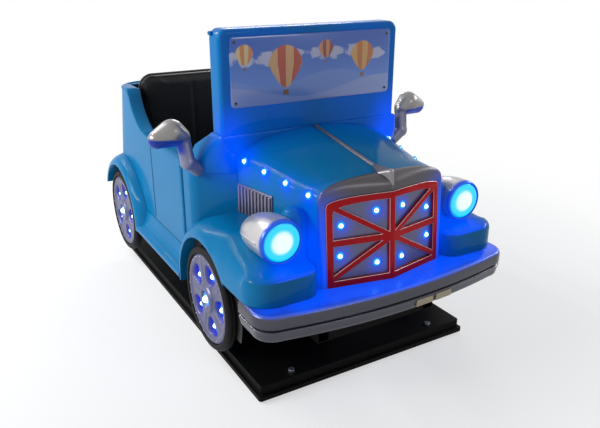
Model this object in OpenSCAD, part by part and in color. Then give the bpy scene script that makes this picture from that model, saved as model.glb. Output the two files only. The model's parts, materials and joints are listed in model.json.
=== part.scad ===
// Kiddie ride: a small vintage car in fibreglass that rocks on a steel base.
// The front of the car faces -Y and +Z is up. The origin is on the floor, under the middle of the car.

/* [Base] */
// Width of the base pan at its bottom flange
base_w = 760; // [720:10:766]
// Length of the base pan
base_l = 1260; // [1200:10:1300]
// How far the middle of the base lies behind the middle of the car
base_shift = 10; // [0:5:20]
// Height of the base's top face above the floor
base_h = 48; // [44:1:50]
// Thickness of the base plate
plate_t = 4; // [3:0.5:6]
// How far the upper skirt is set in from the bottom flange
base_step = 9; // [4:1:14]
// Height of the bottom flange
flange_h = 14; // [10:1:18]
// Height of a rubber foot
foot_h = 6; // [4:1:8]
// Radius of a rubber foot
foot_r = 25; // [15:1:30]
// Distance of the ribs and feet from the centre line
rib_x = 240; // [200:5:245]
// Distance of the base bolts from the centre line
base_bolt_x = 258; // [256:1:300]

/* [Mechanism] */
// Position of the rocking pivot along the car
pivot_y = 60; // [50:5:70]
// Height of the rocking pivot
pivot_z = 120; // [116:1:124]
// Radius of the pivot shaft
shaft_r = 15; // [12:0.5:17]
// Distance of the bearings from the centre line
bearing_x = 120; // [110:1:125]
// Radial running clearance of shafts in their bores
running = 0.05; // [0.02:0.01:0.1]
// Distance from the pivot to the crank shaft
crank_reach = 353; // [340:1:365]
// Throw of the crank
crank_r = 23; // [18:1:25]
// Height of the crank shaft
crank_z = 98; // [96:1:99]
// Radius of the crank roller
roller_r = 12; // [10:0.5:13]
// Clearance of the roller in the yoke's slot
roller_gap = 2; // [1.8:0.1:2.5]

/* [Chassis] */
// Distance of the chassis rails from the centre line
rail_x = 190; // [180:5:200]
// Side of a square chassis tube
tube_s = 40; // [36:1:42]
// Wall of a chassis tube
tube_t = 3; // [2:0.5:4]
// Height of the car's floor above the ground
floor_z = 200; // [198:1:206]

/* [Body] */
// Width of the tub across the doors
body_w = 770; // [768:2:772]
// Wall of the fibreglass shells
wall = 6; // [4:0.5:7]
// Height of the door tops
belt_z = 585; // [570:1:592]
// Height of the cowl's lower edge
cowl_z = 575; // [570:1:582]
// Height of the windscreen's foot
screen_foot_z = 690; // [685:1:700]
// Height of the rear quarters
rear_top_z = 723; // [700:1:735]
// Rear edge of the tub at its top
rear_top_y = 582; // [570:1:590]
// Rear edge of the tub at its floor
rear_foot_y = 735; // [725:1:745]
// Corner radius of the tub at the rear
rear_corner_r = 110; // [80:5:120]
// Front of the door opening, where the dash stands
dash_y = -150; // [-160:1:-140]
// Where the cowl sides start to draw in
cowl_y = -193; // [-200:1:-185]

/* [Hood] */
// Rear end of the hood, at the windscreen
hood_rear_y = -285; // [-290:1:-282]
// Front end of the hood
hood_front_y = -640; // [-645:1:-635]
// How far the hood's sides lie in from the tub's sides at the windscreen
hood_in = 113; // [109:1:120]
// Half width of the hood at the radiator
hood_front_hw = 205; // [200:1:208]
// Crown height of the hood at the windscreen
hood_rear_z = 687; // [680:1:689]
// Crown height of the hood at the radiator
hood_front_z = 630; // [620:1:640]
// Depth of the hood's crown at the windscreen
hood_rear_crown = 80; // [70:1:90]
// Depth of the hood's crown at the radiator
hood_front_crown = 58; // [50:1:70]
// Width of the bright centre strip
strip_w = 16; // [10:1:24]

/* [Radiator] */
// How far the radiator's middle stands ahead of its edges
grille_bow = 40; // [30:1:45]
// Lean of the radiator
grille_lean = 4; // [0:0.5:5]
// Depth of the radiator's edge ahead of the hood
surround_d = 26; // [20:1:30]
// Half width of the grille opening
grille_hw = 192; // [185:1:195]
// Crown height of the grille opening
grille_top_z = 590; // [580:1:595]
// Depth of the grille opening's crown
grille_crown = 26; // [20:1:40]
// Width of a red grille bar
bar_w = 19; // [12:1:24]
// Thickness of a red grille bar
bar_t = 9; // [6:1:10]
// Radius of an LED lamp
led_r = 8; // [6:0.5:10]

/* [Wheels and fenders] */
// Distance between the axles
wheelbase = 875; // [865:1:885]
// Position of the front axle
front_axle_y = -342; // [-345:1:-338]
// Height of the axles
axle_z = 214; // [210:1:218]
// Radius of the bright wheel disc
disc_r = 141; // [130:1:145]
// Thickness of the tyre beyond the disc
tyre_t = 22; // [15:1:24]
// Width of a wheel
wheel_w = 30; // [24:1:31]
// Radius of the wheel arches
arch_r = 192; // [190:1:198]
// Crown radius of the front fenders about the axle
fender_r = 243; // [238:1:250]
// Crown radius of the rear fenders about the axle
rear_fender_r = 258; // [250:1:262]
// How far the fenders stand out from the tub's sides
fender_out = 40; // [39:0.5:41]
// Lower edge of the fenders
fender_z = 196; // [190:1:199]
// Front of the nose blocks
nose_y = -692; // [-696:1:-685]
// Inner end of the nose blocks
nose_x = 222; // [218:1:228]
// Height of the nose blocks' upper edge
nose_z = 415; // [405:1:425]

/* [Bumper] */
// Front of the bumper
bumper_y = -772; // [-776:1:-766]
// How far the bumper's ends stand out from the fenders
bumper_out = 2; // [1:0.5:5]
// Height of the bumper's top
bumper_z = 337; // [334:1:340]
// Height of the bumper
bumper_h = 75; // [60:1:80]
// How far the bumper's front bows
bumper_bow = 36; // [30:1:40]
// Corner radius of the bumper
bumper_r = 45; // [35:1:50]

/* [Lamps] */
// Distance of the headlights' axes in from the fenders' outer faces
lamp_in = 111; // [108:1:114]
// Front face of the headlight pods
lamp_y = -640; // [-644:1:-636]
// Height of the headlights
lamp_z = 489; // [486:1:493]
// Radius of a headlight pod
lamp_r = 62; // [58:1:64]
// Length of a headlight pod
lamp_l = 200; // [180:1:210]

/* [Windscreen and mirrors] */
// Width of the windscreen housing
screen_w = 624; // [610:1:628]
// Front face of the windscreen housing
screen_y = -280; // [-281:0.5:-276]
// Depth of the windscreen housing
screen_d = 65; // [60:1:70]
// Height of the windscreen's top
screen_top_z = 990; // [970:1:1000]
// Width of the picture panel
picture_w = 562; // [540:1:570]
// Height of the picture panel
picture_h = 200; // [180:1:210]
// How far the mirrors reach out from the tub's sides
mirror_out = 124; // [105:1:130]
// Height of the mirrors' middle
mirror_z = 700; // [690:1:705]

/* [Cabin] */
// Height of the seat cushion's top
seat_z = 400; // [380:5:420]
// Front edge of the seat
seat_y = 150; // [130:5:170]
// Width of the seat
seat_w = 650; // [600:10:660]
// Top of the seat back
seat_top_z = 770; // [750:1:780]
// Radius of the steering wheel
steer_r = 125; // [110:1:135]
// Tilt of the steering column
steer_tilt = 30; // [25:1:35]
// Travel of a start button
button_travel = 4; // [3:0.5:5]
// Travel of the horn button
horn_travel = 2.5; // [2:0.5:3]
// Radius of a start button's stem
button_r = 19.6; // [16:0.2:22]
// Side play of the push buttons in their holes
button_gap = 0.4; // [0.3:0.1:0.6]
// Width of the coin door
door_w = 175; // [160:1:180]
// Height of the coin door
door_h = 150; // [130:1:152]
// Width of the rear service hatch
hatch_w = 300; // [240:5:320]
// Height of the rear service hatch
hatch_h = 220; // [180:5:240]
// Radius of a hinge pin
pin_r = 3; // [2:0.5:4]
// Radius of a lock barrel
lock_r = 9; // [7:0.5:10]

/* [Hidden] */
$fn = 64;
eps = 0.3;
body_hw = body_w / 2;
fender_hw = body_hw + fender_out;
bumper_hw = fender_hw + bumper_out;
lamp_x = fender_hw - lamp_in;
hood_rear_hw = body_hw - hood_in;
mirror_x = body_hw + mirror_out;
base_front_y = base_shift - base_l / 2;
base_rear_y = base_shift + base_l / 2;
rear_axle_y = front_axle_y + wheelbase;
axle_ys = [front_axle_y, rear_axle_y];
rail_z = floor_z - tube_s;
crank_y = pivot_y - crank_reach;
shelf_t = 5;
shoulder_z = cowl_z + 70;
shoulder_in = 35;
rim_w = 48;
rim_t = 7;
arm_r = 22;
bumper_back_y = -600;
rail_front_y = -650;
rail_rear_y = 640;
rear_slope = atan((rear_foot_y - rear_top_y) / (rear_top_z - floor_z));
tail_rise = 76;
rear_tail_z = axle_z + tail_rise;
fender_curl = 100;
fender_lip = 6;
fender_lip_r = arch_r + fender_lip;
fender_tuck = 80;
vent_l = 165;
vent_h = 93;
vent_z = 452;
vent_gap = 5;
vent_step = 16.2;
vent_rib = 8;
vent_t = 3;
vent_edge = 5;
gearbox_w = 102;
gearbox_d = 100;
gearbox_h = 64;
motor_r = 32;
motor_l = 150;
motor_cap_r = 24;
motor_cap_l = 15;
stand_l = 170;
stand_top_l = 128;
stand_w = 44;
nose_back_y = -470;
nose_rise = 34;
wheel_out_x = fender_hw - 7;
wheel_in_x = wheel_out_x - wheel_w;
liner_x = body_hw;
screen_hw = screen_w / 2;
screen_back_y = screen_y + screen_d;
picture_z = screen_top_z - 22 - picture_h / 2;
picture_t = 4;
lcd_z = screen_top_z - 150;
lcd_w = 270;
lcd_h = 165;
mirror_y = -200;
bolt_r = 5;
rib_t = 8;
dash_t = 6;
seat_t = 55;
seat_depth = 330;
back_t = 55;
deck_y = seat_y + seat_depth + back_t + 1;
door_hinge_x = 75 - body_hw;
door_z = 240;
plate_gap = 0.6;
leaf_t = 4;
knuckle_r = pin_r + 3;
hinge_off = knuckle_r + 0.8;
lock_in = lock_r + 19;
hatch_z = 300;
hatch_l = hatch_h + knuckle_r + 2;
coin_x = door_hinge_x + 78;
coin_z = 462;
reject_r = 7;
button_x = body_hw - 222;
button_z = 520;
speaker_x = body_hw - 60;
speaker_z = 430;
steer_y = dash_y + 118;
steer_z = 545;
hub_r = 32;
horn_r = 21.6;
column_r = 13;
spindle_r = 8;
switch_x = 45;
power_w = 180;
power_h = 62;
power_d = 80;
power_y = base_rear_y - base_step - power_d;

blue = [0.10, 0.45, 0.72];
silver = [0.70, 0.69, 0.72];
dark = [0.06, 0.06, 0.07];
steel = [0.45, 0.46, 0.48];
red = [0.60, 0.04, 0.07];
glow = [0.35, 0.80, 1.0];

// Points of an arc, in degrees
function arc(cx, cy, r, a0, a1, n) =
    [for (i = [0:n]) let (a = a0 + (a1 - a0) * i / n) [cx + r * cos(a), cy + r * sin(a)]];

// Both sides of the car
module pair() {
    children();
    mirror([1, 0, 0]) children();
}

// A flat outline in Y and Z, pushed along X from x0 to x1
module across(x0, x1) {
    translate([x0, 0, 0]) rotate([90, 0, 90]) linear_extrude(x1 - x0) children();
}

// A flat outline in X and Z, pushed along Y from y0 to y1
module along(y0, y1) {
    translate([0, y1, 0]) rotate([90, 0, 0]) linear_extrude(y1 - y0) children();
}

// A cylinder along X
module rod_x(r, x0, x1, y, z) {
    translate([x0, y, z]) rotate([0, 90, 0]) cylinder(r = r, h = x1 - x0);
}

// A cylinder along Y
module rod_y(r, y0, y1, x, z) {
    translate([x, y1, z]) rotate([90, 0, 0]) cylinder(r = r, h = y1 - y0);
}

// A box between two corners
module block(low, high) {
    translate(low) cube(high - low);
}

// A rectangle with round corners, about its middle
module round_rect(w, h, r) {
    square([w - 2 * r, h], center = true);
    square([w, h - 2 * r], center = true);
    for (sx = [-1, 1], sy = [-1, 1])
        translate([sx * (w / 2 - r), sy * (h / 2 - r)]) circle(r);
}

// The sloping rear of the tub: local Y points out of it, local Z runs up it
module on_rear(z) {
    translate([0, rear_foot_y - (z - floor_z) * tan(rear_slope), z]) rotate([rear_slope, 0, 0]) children();
}

// The steering axis: local Z runs from the dash to the driver
module on_steering() {
    translate([0, steer_y, steer_z]) rotate([steer_tilt - 90, 0, 0]) children();
}

module base_pan() {
    upper_w = base_w - 2 * base_step;
    upper_l = base_l - 2 * base_step;
    inner_w = upper_w - 2 * plate_t;
    inner_l = upper_l - 2 * plate_t;
    color(dark) {
        difference() {
            union() {
                translate([0, base_shift, foot_h]) linear_extrude(flange_h) round_rect(base_w, base_l, 8);
                translate([0, base_shift, foot_h]) linear_extrude(base_h - foot_h)
                    round_rect(upper_w, upper_l, 8);
            }
            translate([0, base_shift, foot_h - 1])
                linear_extrude(base_h - foot_h - plate_t + 1) square([inner_w, inner_l], center = true);
            base_bolt_places() translate([0, 0, -40]) cylinder(r = bolt_r + 0.3, h = 60);
        }
        for (sx = [-1, 1])
            block([sx * rib_x - rib_t / 2, base_shift - inner_l / 2 - 1, foot_h],
                [sx * rib_x + rib_t / 2, base_shift + inner_l / 2 + 1, base_h - 1]);
        for (y = [crank_y, pivot_y, base_rear_y - 160])
            block([-inner_w / 2 - 1, y - rib_t / 2, foot_h], [inner_w / 2 + 1, y + rib_t / 2, base_h - 1]);
    }
}

module base_bolt_places() {
    for (sx = [-1, 1], y = [base_front_y + 36, base_rear_y - 36])
        translate([sx * base_bolt_x, y, base_h]) children();
}

module base_feet() {
    color(dark)
        for (sx = [-1, 1], y = [base_front_y + 90, pivot_y, base_rear_y - 90])
            translate([sx * rib_x, y, 0]) cylinder(r = foot_r, h = foot_h);
}

module base_bolts() {
    color(steel) base_bolt_places() {
        cylinder(r = 2 * bolt_r, h = 7, $fn = 6);
        translate([0, 0, -25]) cylinder(r = bolt_r, h = 25);
    }
}

// Welded stands for the pivot bearings and the gearbox
module base_stands() {
    top = pivot_z - 32;
    color(dark) {
        pair() across(bearing_x - stand_w / 2, bearing_x + stand_w / 2)
            polygon([[pivot_y - stand_l / 2, base_h], [pivot_y + stand_l / 2, base_h],
                [pivot_y + stand_top_l / 2, top], [pivot_y - stand_top_l / 2, top]]);
        block([-gearbox_w - 18, crank_y - gearbox_d / 2 - 20, base_h],
            [0, crank_y + gearbox_d / 2 + 10, crank_z - gearbox_h / 2]);
    }
}

module pivot_bearings() {
    color(steel) pair() difference() {
        union() {
            block([bearing_x - 18, pivot_y - 60, pivot_z - 32],
                [bearing_x + 18, pivot_y + 60, pivot_z - 18]);
            rod_x(30, bearing_x - 18, bearing_x + 18, pivot_y, pivot_z);
        }
        rod_x(shaft_r + running, bearing_x - 30, bearing_x + 30, pivot_y, pivot_z);
    }
}

module gearbox() {
    color(steel) difference() {
        union() {
            block([-gearbox_w - 8, crank_y - gearbox_d / 2, crank_z - gearbox_h / 2],
                [-8, crank_y + gearbox_d / 2, crank_z + gearbox_h / 2]);
            rod_x(26, -9, 0, crank_y, crank_z);
        }
        rod_x(12 + running, -90, 10, crank_y, crank_z);
    }
}

module drive_motor() {
    back = crank_y - gearbox_d / 2;
    color(dark) {
        rod_y(motor_r, back - motor_l, back, -8 - gearbox_w / 2, crank_z);
        rod_y(motor_cap_r, back - motor_l - motor_cap_l, back - motor_l, -8 - gearbox_w / 2, crank_z);
    }
}

module power_box() {
    face = power_y + power_d;
    middle_z = base_h + power_h / 2;
    color(dark) {
        difference() {
            block([-power_w / 2, power_y, base_h], [power_w / 2, face, base_h + power_h]);
            block([-power_w / 2 + 2, power_y + 2, base_h - 1],
                [power_w / 2 - 2, face - 2, base_h + power_h - 2]);
            translate([switch_x, 0, middle_z]) block([-10.5, face - 5, -14], [10.5, face + 1, 14]);
            translate([-switch_x, 0, middle_z]) block([-14, face - 5, -10], [14, face + 1, 10]);
        }
        difference() {
            translate([-switch_x, face, middle_z]) block([-20, -22, -13], [20, 2, 13]);
            translate([-switch_x, face, middle_z]) block([-12, -18, -8], [12, 3, 8]);
        }
    }
}

module power_switch() {
    face = power_y + power_d;
    color(red) translate([switch_x, face - 3, base_h + power_h / 2])
        across(-10, 10)
            polygon([[-4, -10], [5.2, -12], [4.4, 0], [5.2, 12], [-4, 10]]);
}

module crank() {
    pin_y = crank_y + crank_r;
    color(steel) {
        rod_x(12, -80, 10, crank_y, crank_z);
        rod_x(20, 10, 24, crank_y, crank_z);
        rod_x(15, 10, 24, pin_y, crank_z);
        block([10, crank_y, crank_z - 13], [24, pin_y, crank_z + 13]);
        rod_x(7, 24, 62, pin_y, crank_z);
    }
}

module crank_roller() {
    pin_y = crank_y + crank_r;
    color([0.75, 0.72, 0.6]) difference() {
        rod_x(roller_r, 38, 58, pin_y, crank_z);
        rod_x(7, 30, 70, pin_y, crank_z);
    }
}

module drive_yoke() {
    half_slot = roller_r + roller_gap;
    run = crank_r + 4;
    low = crank_z - half_slot - 9;
    color(dark) difference() {
        block([40, crank_y - run - half_slot - 12, low], [56, crank_y + run + half_slot + 12, rail_z]);
        block([30, crank_y - run, crank_z - half_slot], [66, crank_y + run, crank_z + half_slot]);
        for (sy = [-1, 1]) rod_x(half_slot, 30, 66, crank_y + sy * run, crank_z);
    }
}

module pivot_shaft() {
    color(steel) rod_x(shaft_r, -bearing_x - 28, bearing_x + 28, pivot_y, pivot_z);
}

// A square tube between two corners, hollow along one axis
module tube(low, high, axis) {
    inset = [for (i = [0:2]) i == axis ? -1 : tube_t];
    difference() {
        block(low, high);
        block(low + inset, high - inset);
    }
}

module chassis_frame() {
    half = tube_s / 2;
    cross = rail_x - half;
    color(dark) {
        for (sx = [-1, 1]) {
            tube([sx * rail_x - half, rail_front_y, rail_z], [sx * rail_x + half, rail_rear_y, floor_z], 1);
            tube([sx * rail_x - half, rail_front_y, floor_z],
                [sx * rail_x + half, rail_front_y + tube_s, bumper_z - shelf_t], 2);
            difference() {
                union() {
                    rod_x(shaft_r + 12, sx * 75 - 7, sx * 75 + 7, pivot_y, pivot_z);
                    block([sx * 75 - 7, pivot_y - 26, pivot_z], [sx * 75 + 7, pivot_y + 26, rail_z]);
                }
                rod_x(shaft_r, sx * 75 - 20, sx * 75 + 20, pivot_y, pivot_z);
            }
        }
        for (y = [rail_front_y + half, crank_y, pivot_y, 360, rail_rear_y - half])
            tube([-cross, y - half, rail_z], [cross, y + half, floor_z], 0);
    }
}

// Plan of the tub, drawn in by g, with its rear edge at rear_y
function tub_plan(g, rear_y) = concat(
    [[hood_rear_hw - g, hood_rear_y - 3 + g], [body_hw - g, cowl_y + g * 0.6]],
    arc(body_hw - rear_corner_r, rear_y - rear_corner_r, rear_corner_r - g, 0, 90, 8),
    arc(rear_corner_r - body_hw, rear_y - rear_corner_r, rear_corner_r - g, 90, 180, 8),
    [[g - body_hw, cowl_y + g * 0.6], [g - hood_rear_hw, hood_rear_y - 3 + g]]);

// Outer form of the tub, drawn in by g all round and from below by lift
module tub_form(g, lift) {
    rise = rear_top_z - floor_z;
    fall = (rear_foot_y - rear_top_y) * lift / rise;
    hull() {
        translate([0, 0, floor_z + lift]) linear_extrude(0.1) polygon(tub_plan(g, rear_foot_y - fall));
        translate([0, 0, rear_top_z - 0.1]) linear_extrude(0.1) polygon(tub_plan(g, rear_top_y));
    }
}

// Side view of what is kept of the tub: cowl, door tops and rear quarters
module tub_side() {
    sweep_r = 205;
    drop = rear_top_z - belt_z;
    turn = acos(1 - drop / sweep_r);
    polygon(concat(
        [[-420, floor_z - 1], [-420, cowl_z], [dash_y + 12, cowl_z], [dash_y + 30, belt_z]],
        arc(225, belt_z + sweep_r, sweep_r, -90, turn - 90, 10),
        [[900, rear_top_z], [900, floor_z - 1]]));
}

// Outer form of the hood, grown by g
module hood_form(g) {
    hull() {
        along(hood_rear_y - 0.1, hood_rear_y)
            polygon(arched(hood_rear_hw + g, hood_rear_z + g, hood_rear_crown));
        along(hood_front_y, hood_front_y + 0.1)
            polygon(arched(hood_front_hw + g, hood_front_z + g, hood_front_crown));
    }
}

// Front view of an arched opening or panel: straight sides, and a flat crown with full shoulders
function arched(hw, top, crown) = let (bulge = 2 / 2.9) concat(
    [[hw, bumper_z]],
    [for (i = [0:14]) let (a = 90 * i / 14)
        [hw * pow(cos(a), bulge), top - crown + crown * pow(sin(a), bulge)]],
    [for (i = [13:-1:0]) let (a = 90 * i / 14)
        [-hw * pow(cos(a), bulge), top - crown + crown * pow(sin(a), bulge)]],
    [[-hw, bumper_z]]);

module body_tub() {
    color(blue) difference() {
        intersection() {
            tub_form(0, 0);
            across(-500, 500) tub_side();
        }
        intersection() {
            tub_form(wall, wall);
            union() {
                block([-500, -500, 0], [500, 900, rear_top_z - wall]);
                block([-500, -500, 0], [500, deck_y, 900]);
            }
        }
        block([-hood_rear_hw - eps, -500, floor_z - 1],
            [hood_rear_hw + eps, hood_rear_y + eps, cowl_z + 1]);
        on_rear(hatch_z) block([12 - hatch_w / 2, -40, 14], [hatch_w / 2 - 12, 20, hatch_h - 14]);
        pair() door_grooves();
    }
    color(blue) pair() tub_rim();
}

// Broad rim that turns inwards along a door top and up the rear quarter
module tub_rim() {
    intersection() {
        tub_form(1, 1);
        block([body_hw - rim_w, dash_y + 32, belt_z - 30], [body_hw - wall + 1, deck_y, 900]);
        across(0, 500) difference() {
            tub_side();
            offset(delta = -rim_t) tub_side();
        }
    }
}

// Shallow grooves that draw the door on the tub's side
module door_grooves() {
    depth = 2;
    for (y = [-122, -100, 190])
        block([body_hw - depth, y - 3, floor_z + 96], [body_hw + 2, y + 3, belt_z - 18]);
}

module cowl() {
    color(blue) difference() {
        cowl_form(0, 0);
        cowl_form(wall, -1);
        hood_form(eps);
    }
}

// Outer form of the cowl, drawn in by g, its foot moved by lift
module cowl_form(g, lift) {
    foot = [for (p = [[hood_rear_hw, hood_rear_y - 2], [body_hw, cowl_y], [body_hw, dash_y]]) p];
    hull() {
        translate([0, 0, cowl_z + lift]) linear_extrude(0.1) polygon([
            [foot[0][0] - g, foot[0][1] + g], [foot[1][0] - g, foot[1][1] + g * 0.6],
            [foot[2][0] - g, foot[2][1] - g], [g - foot[2][0], foot[2][1] - g],
            [g - foot[1][0], foot[1][1] + g * 0.6], [g - foot[0][0], foot[0][1] + g]]);
        translate([0, (screen_back_y + dash_y) / 2 - g / 2, shoulder_z - 0.1 - g]) linear_extrude(0.1)
            square([2 * (body_hw - shoulder_in - g), dash_y - screen_back_y - g], center = true);
        translate([0, (screen_y + screen_back_y) / 2, shoulder_z - 8 - g])
            linear_extrude(0.1) square([screen_w + 20 - 2 * g, screen_d + 6 - 2 * g], center = true);
        translate([0, (screen_y + screen_back_y) / 2, screen_foot_z - 0.1 - g])
            linear_extrude(0.1) square([screen_w + 12 - 2 * g, screen_d + 10 - 2 * g], center = true);
    }
}

module hood() {
    color(blue) difference() {
        hood_form(0);
        hull() {
            along(hood_rear_y - 1, hood_rear_y + 1)
                polygon(arched(hood_rear_hw - wall, hood_rear_z - wall, hood_rear_crown));
            along(hood_front_y - 1, hood_front_y + 1)
                polygon(arched(hood_front_hw - wall, hood_front_z - wall, hood_front_crown));
        }
    }
}

// Bright strip along the hood's middle, ending in a crest over the radiator
module hood_trim() {
    fall = atan((hood_rear_z - hood_front_z) / (hood_rear_y - hood_front_y));
    length = (hood_rear_y - hood_front_y - 30) / cos(fall);
    color(silver) {
        translate([0, hood_rear_y - 2, hood_rear_z]) rotate([fall, 0, 0])
            along(-length, 0)
                polygon([[-strip_w / 2, 0.2], [strip_w / 2, 0.2], [strip_w / 4, 5], [-strip_w / 4, 5]]);
        difference() {
            hull() {
                translate([0, hood_front_y + 44, hood_front_z + 8]) sphere(r = 5, $fn = 20);
                translate([0, hood_front_y - 34, hood_front_z + 10]) sphere(r = 9, $fn = 20);
                for (sx = [-1, 1])
                    translate([sx * 20, hood_front_y - 8, hood_front_z + 2]) sphere(r = 6, $fn = 20);
                translate([0, hood_front_y - surround_d - grille_bow + 22, grille_top_z + 8])
                    sphere(r = 5, $fn = 20);
            }
            hood_form(0.2);
            surround_form(0.2);
        }
    }
}

// Places of the lamps along the hood's shoulders
module hood_lamp_places() {
    level = 0.16;
    for (i = [0:3]) let (t = 0.105 + 0.26 * i,
        hw = hood_rear_hw + (hood_front_hw - hood_rear_hw) * t,
        top = hood_rear_z + (hood_front_z - hood_rear_z) * t,
        crown = hood_rear_crown + (hood_front_crown - hood_rear_crown) * t)
        translate([hw * pow(1 - pow(level, 2.9), 1 / 2.9), hood_rear_y + (hood_front_y - hood_rear_y) * t,
            top - crown * (1 - level)]) children();
}

// Side panel with upright ribs, on the hood's flank
module side_louvres() {
    draw_in = atan((hood_rear_hw - hood_front_hw) / (hood_rear_y - hood_front_y));
    color(silver) pair() difference() {
        translate([hood_rear_hw + 0.2, hood_rear_y, 0]) rotate([0, 0, -draw_in]) {
            block([0, -vent_gap - vent_l, vent_z], [vent_t, -vent_gap, vent_z + vent_h]);
            for (i = [0:9]) translate([vent_t, -vent_gap - 2 * vent_edge - vent_step * i, vent_z + vent_edge])
                block([0, -vent_rib / 2, 0], [vent_edge, vent_rib / 2, vent_h - 2 * vent_edge]);
        }
        fender_dome(-eps, fender_r, nose_x + 6, front_axle_y);
    }
}

// A slab that follows the radiator's bowed, leaning front, from depth d0 to d1 ahead of it
module grille_slab(d0, d1) {
    edge = hood_front_y - surround_d;
    hw = hood_front_hw + 40;
    bow = grille_bow * hw / hood_front_hw;
    translate([0, hood_front_y - surround_d, bumper_z]) rotate([-grille_lean, 0, 0])
        translate([0, -edge, -60]) linear_extrude(hood_front_z)
            polygon([[-hw, edge + bow - grille_bow - d0], [0, edge - grille_bow - d0],
                [hw, edge + bow - grille_bow - d0], [hw, edge + bow - grille_bow - d1],
                [0, edge - grille_bow - d1], [-hw, edge + bow - grille_bow - d1]]);
}

// Outer form of the radiator surround, rolled over from the hood to the grille, grown by g
module surround_form(g) {
    hull() {
        along(hood_front_y - 8, hood_front_y)
            polygon(arched(hood_front_hw + 4 + g, hood_front_z + 4 + g, hood_front_crown));
        intersection() {
            along(-900, hood_front_y)
                polygon(arched(grille_hw + 7 + g, grille_top_z + 7 + g, grille_crown));
            grille_slab(-12, g);
        }
    }
}

module radiator_surround() {
    color(silver) difference() {
        surround_form(0);
        along(-901, hood_front_y + 1) polygon(arched(grille_hw, grille_top_z, grille_crown));
    }
}

module grille_panel() {
    color(silver) intersection() {
        along(-900, hood_front_y) polygon(arched(grille_hw, grille_top_z, grille_crown));
        grille_slab(-12, -8);
    }
}

// Front view of the red frame: border, cross and diagonals
module grille_bars() {
    middle_z = (bumper_z + grille_top_z) / 2;
    difference() {
        polygon(arched(grille_hw, grille_top_z, grille_crown));
        polygon([for (p = arched(grille_hw - bar_w, grille_top_z - bar_w, grille_crown))
            [p[0], max(p[1], bumper_z + bar_w)]]);
    }
    intersection() {
        polygon(arched(grille_hw, grille_top_z, grille_crown));
        union() {
            translate([0, middle_z]) square([bar_w, grille_top_z - bumper_z], center = true);
            translate([0, middle_z]) square([2 * grille_hw, bar_w], center = true);
            for (s = [-1, 1])
                translate([0, middle_z]) rotate(s * atan((grille_top_z - bumper_z - 30) / (2 * grille_hw)))
                    square([3 * grille_hw, bar_w * 0.8], center = true);
        }
    }
}

module grille_frame() {
    color(red) intersection() {
        along(-900, hood_front_y) grille_bars();
        grille_slab(-8, bar_t - 8);
    }
}

// Places of the lamps in the eight fields of the grille, as shares of its width and height
module grille_lamp_places() {
    for (sx = [-1, 1], p = [[0.23, 0.80], [0.76, 0.68], [0.78, 0.34], [0.22, 0.21]])
        let (x = p[0] * grille_hw, z = bumper_z + p[1] * (grille_top_z - bumper_z),
            lean = (z - bumper_z) * tan(grille_lean))
        translate([sx * x, hood_front_y - surround_d - grille_bow * (1 - x / hood_front_hw) + lean + 8, z])
            children();
}

// LED lamps along the hood and in the grille
module body_lamps() {
    color(glow) {
        difference() {
            pair() hood_lamp_places() sphere(r = led_r);
            hood_form(0.1);
        }
        difference() {
            grille_lamp_places() sphere(r = led_r);
            grille_slab(-60, -8);
        }
    }
}

// Solid of revolution of a fender about its axle, drawn in by g, with crown radius r, reaching in to x_in
module fender_dome(g, r, x_in, y) {
    translate([0, y, axle_z]) rotate([0, 90, 0]) rotate_extrude($fn = 96)
        polygon(concat([[0, fender_hw - g]],
            [for (i = [0:10]) let (a = 9 * i)
                [fender_lip_r - g + (r - fender_lip_r) * sin(a),
                    fender_hw - g - (fender_curl - g) * (1 - cos(a))]],
            [[r - g, x_in], [0, x_in]]));
}

// Space of the wheel arch, grown by g
module wheel_well(g, y) {
    rod_x(arch_r + g, liner_x - g, fender_hw + 10, y, axle_z);
}

// Plan of a nose block, drawn in by g
function nose_plan(g) = concat(
    arc(fender_hw - 75, nose_y + 75, 75 - g, 0, -90, 8),
    arc(nose_x + 45, nose_y + 45, 45 - g, -90, -180, 6),
    [[nose_x + g, nose_back_y - g], [fender_hw - g, nose_back_y - g]]);

// Nose block under the headlight, drawn in by g
module nose_form(g) {
    hull() {
        translate([0, 0, bumper_z - g]) linear_extrude(0.1) polygon(nose_plan(g));
        translate([0, 0, nose_z - g]) linear_extrude(0.1) polygon(nose_plan(g));
        translate([lamp_x, nose_back_y - g, nose_z + nose_rise - g]) rotate([0, 90, 0])
            cylinder(r = 14, h = 120 - 2 * g, center = true, $fn = 24);
    }
}

// Liner disc that closes a wheel arch towards the car
module arch_liner(y) {
    intersection() {
        rod_x(arch_r + wall, liner_x - wall, liner_x, y, axle_z);
        block([0, y - 300, axle_z - 70], [500, y + 300, 900]);
    }
}

// Rounded pillar between the hood and a headlight
module lamp_pillar() {
    r = 34;
    h = lamp_z - nose_z + 48;
    translate([nose_x + 23, lamp_y + 65, nose_z - 15]) rotate_extrude()
        polygon(concat([[0, 0], [r, 0]], arc(0, h, r, 0, 90, 8)));
}

module front_fender() {
    x_in = nose_x + 6;
    front_edge_y = front_axle_y - arch_r * 0.8;
    difference() {
        union() {
            fender_dome(0, fender_r, x_in, front_axle_y);
            nose_form(0);
        }
        difference() {
            union() {
                fender_dome(wall, fender_r, x_in - 1, front_axle_y);
                nose_form(wall);
            }
            wheel_well(wall, front_axle_y);
        }
        wheel_well(0, front_axle_y);
        block([0, -900, -200], [500, front_edge_y, bumper_z + eps]);
        block([0, front_edge_y - 1, -200], [500, 300, fender_z]);
    }
    arch_liner(front_axle_y);
    lamp_pillar();
}

module front_fenders() {
    color(blue) difference() {
        pair() front_fender();
        hood_form(eps);
        tub_form(-eps, 0);
        cowl_form(-eps, 0);
        pair() translate([lamp_x, 0, lamp_z]) pod_form(eps);
    }
}

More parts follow.
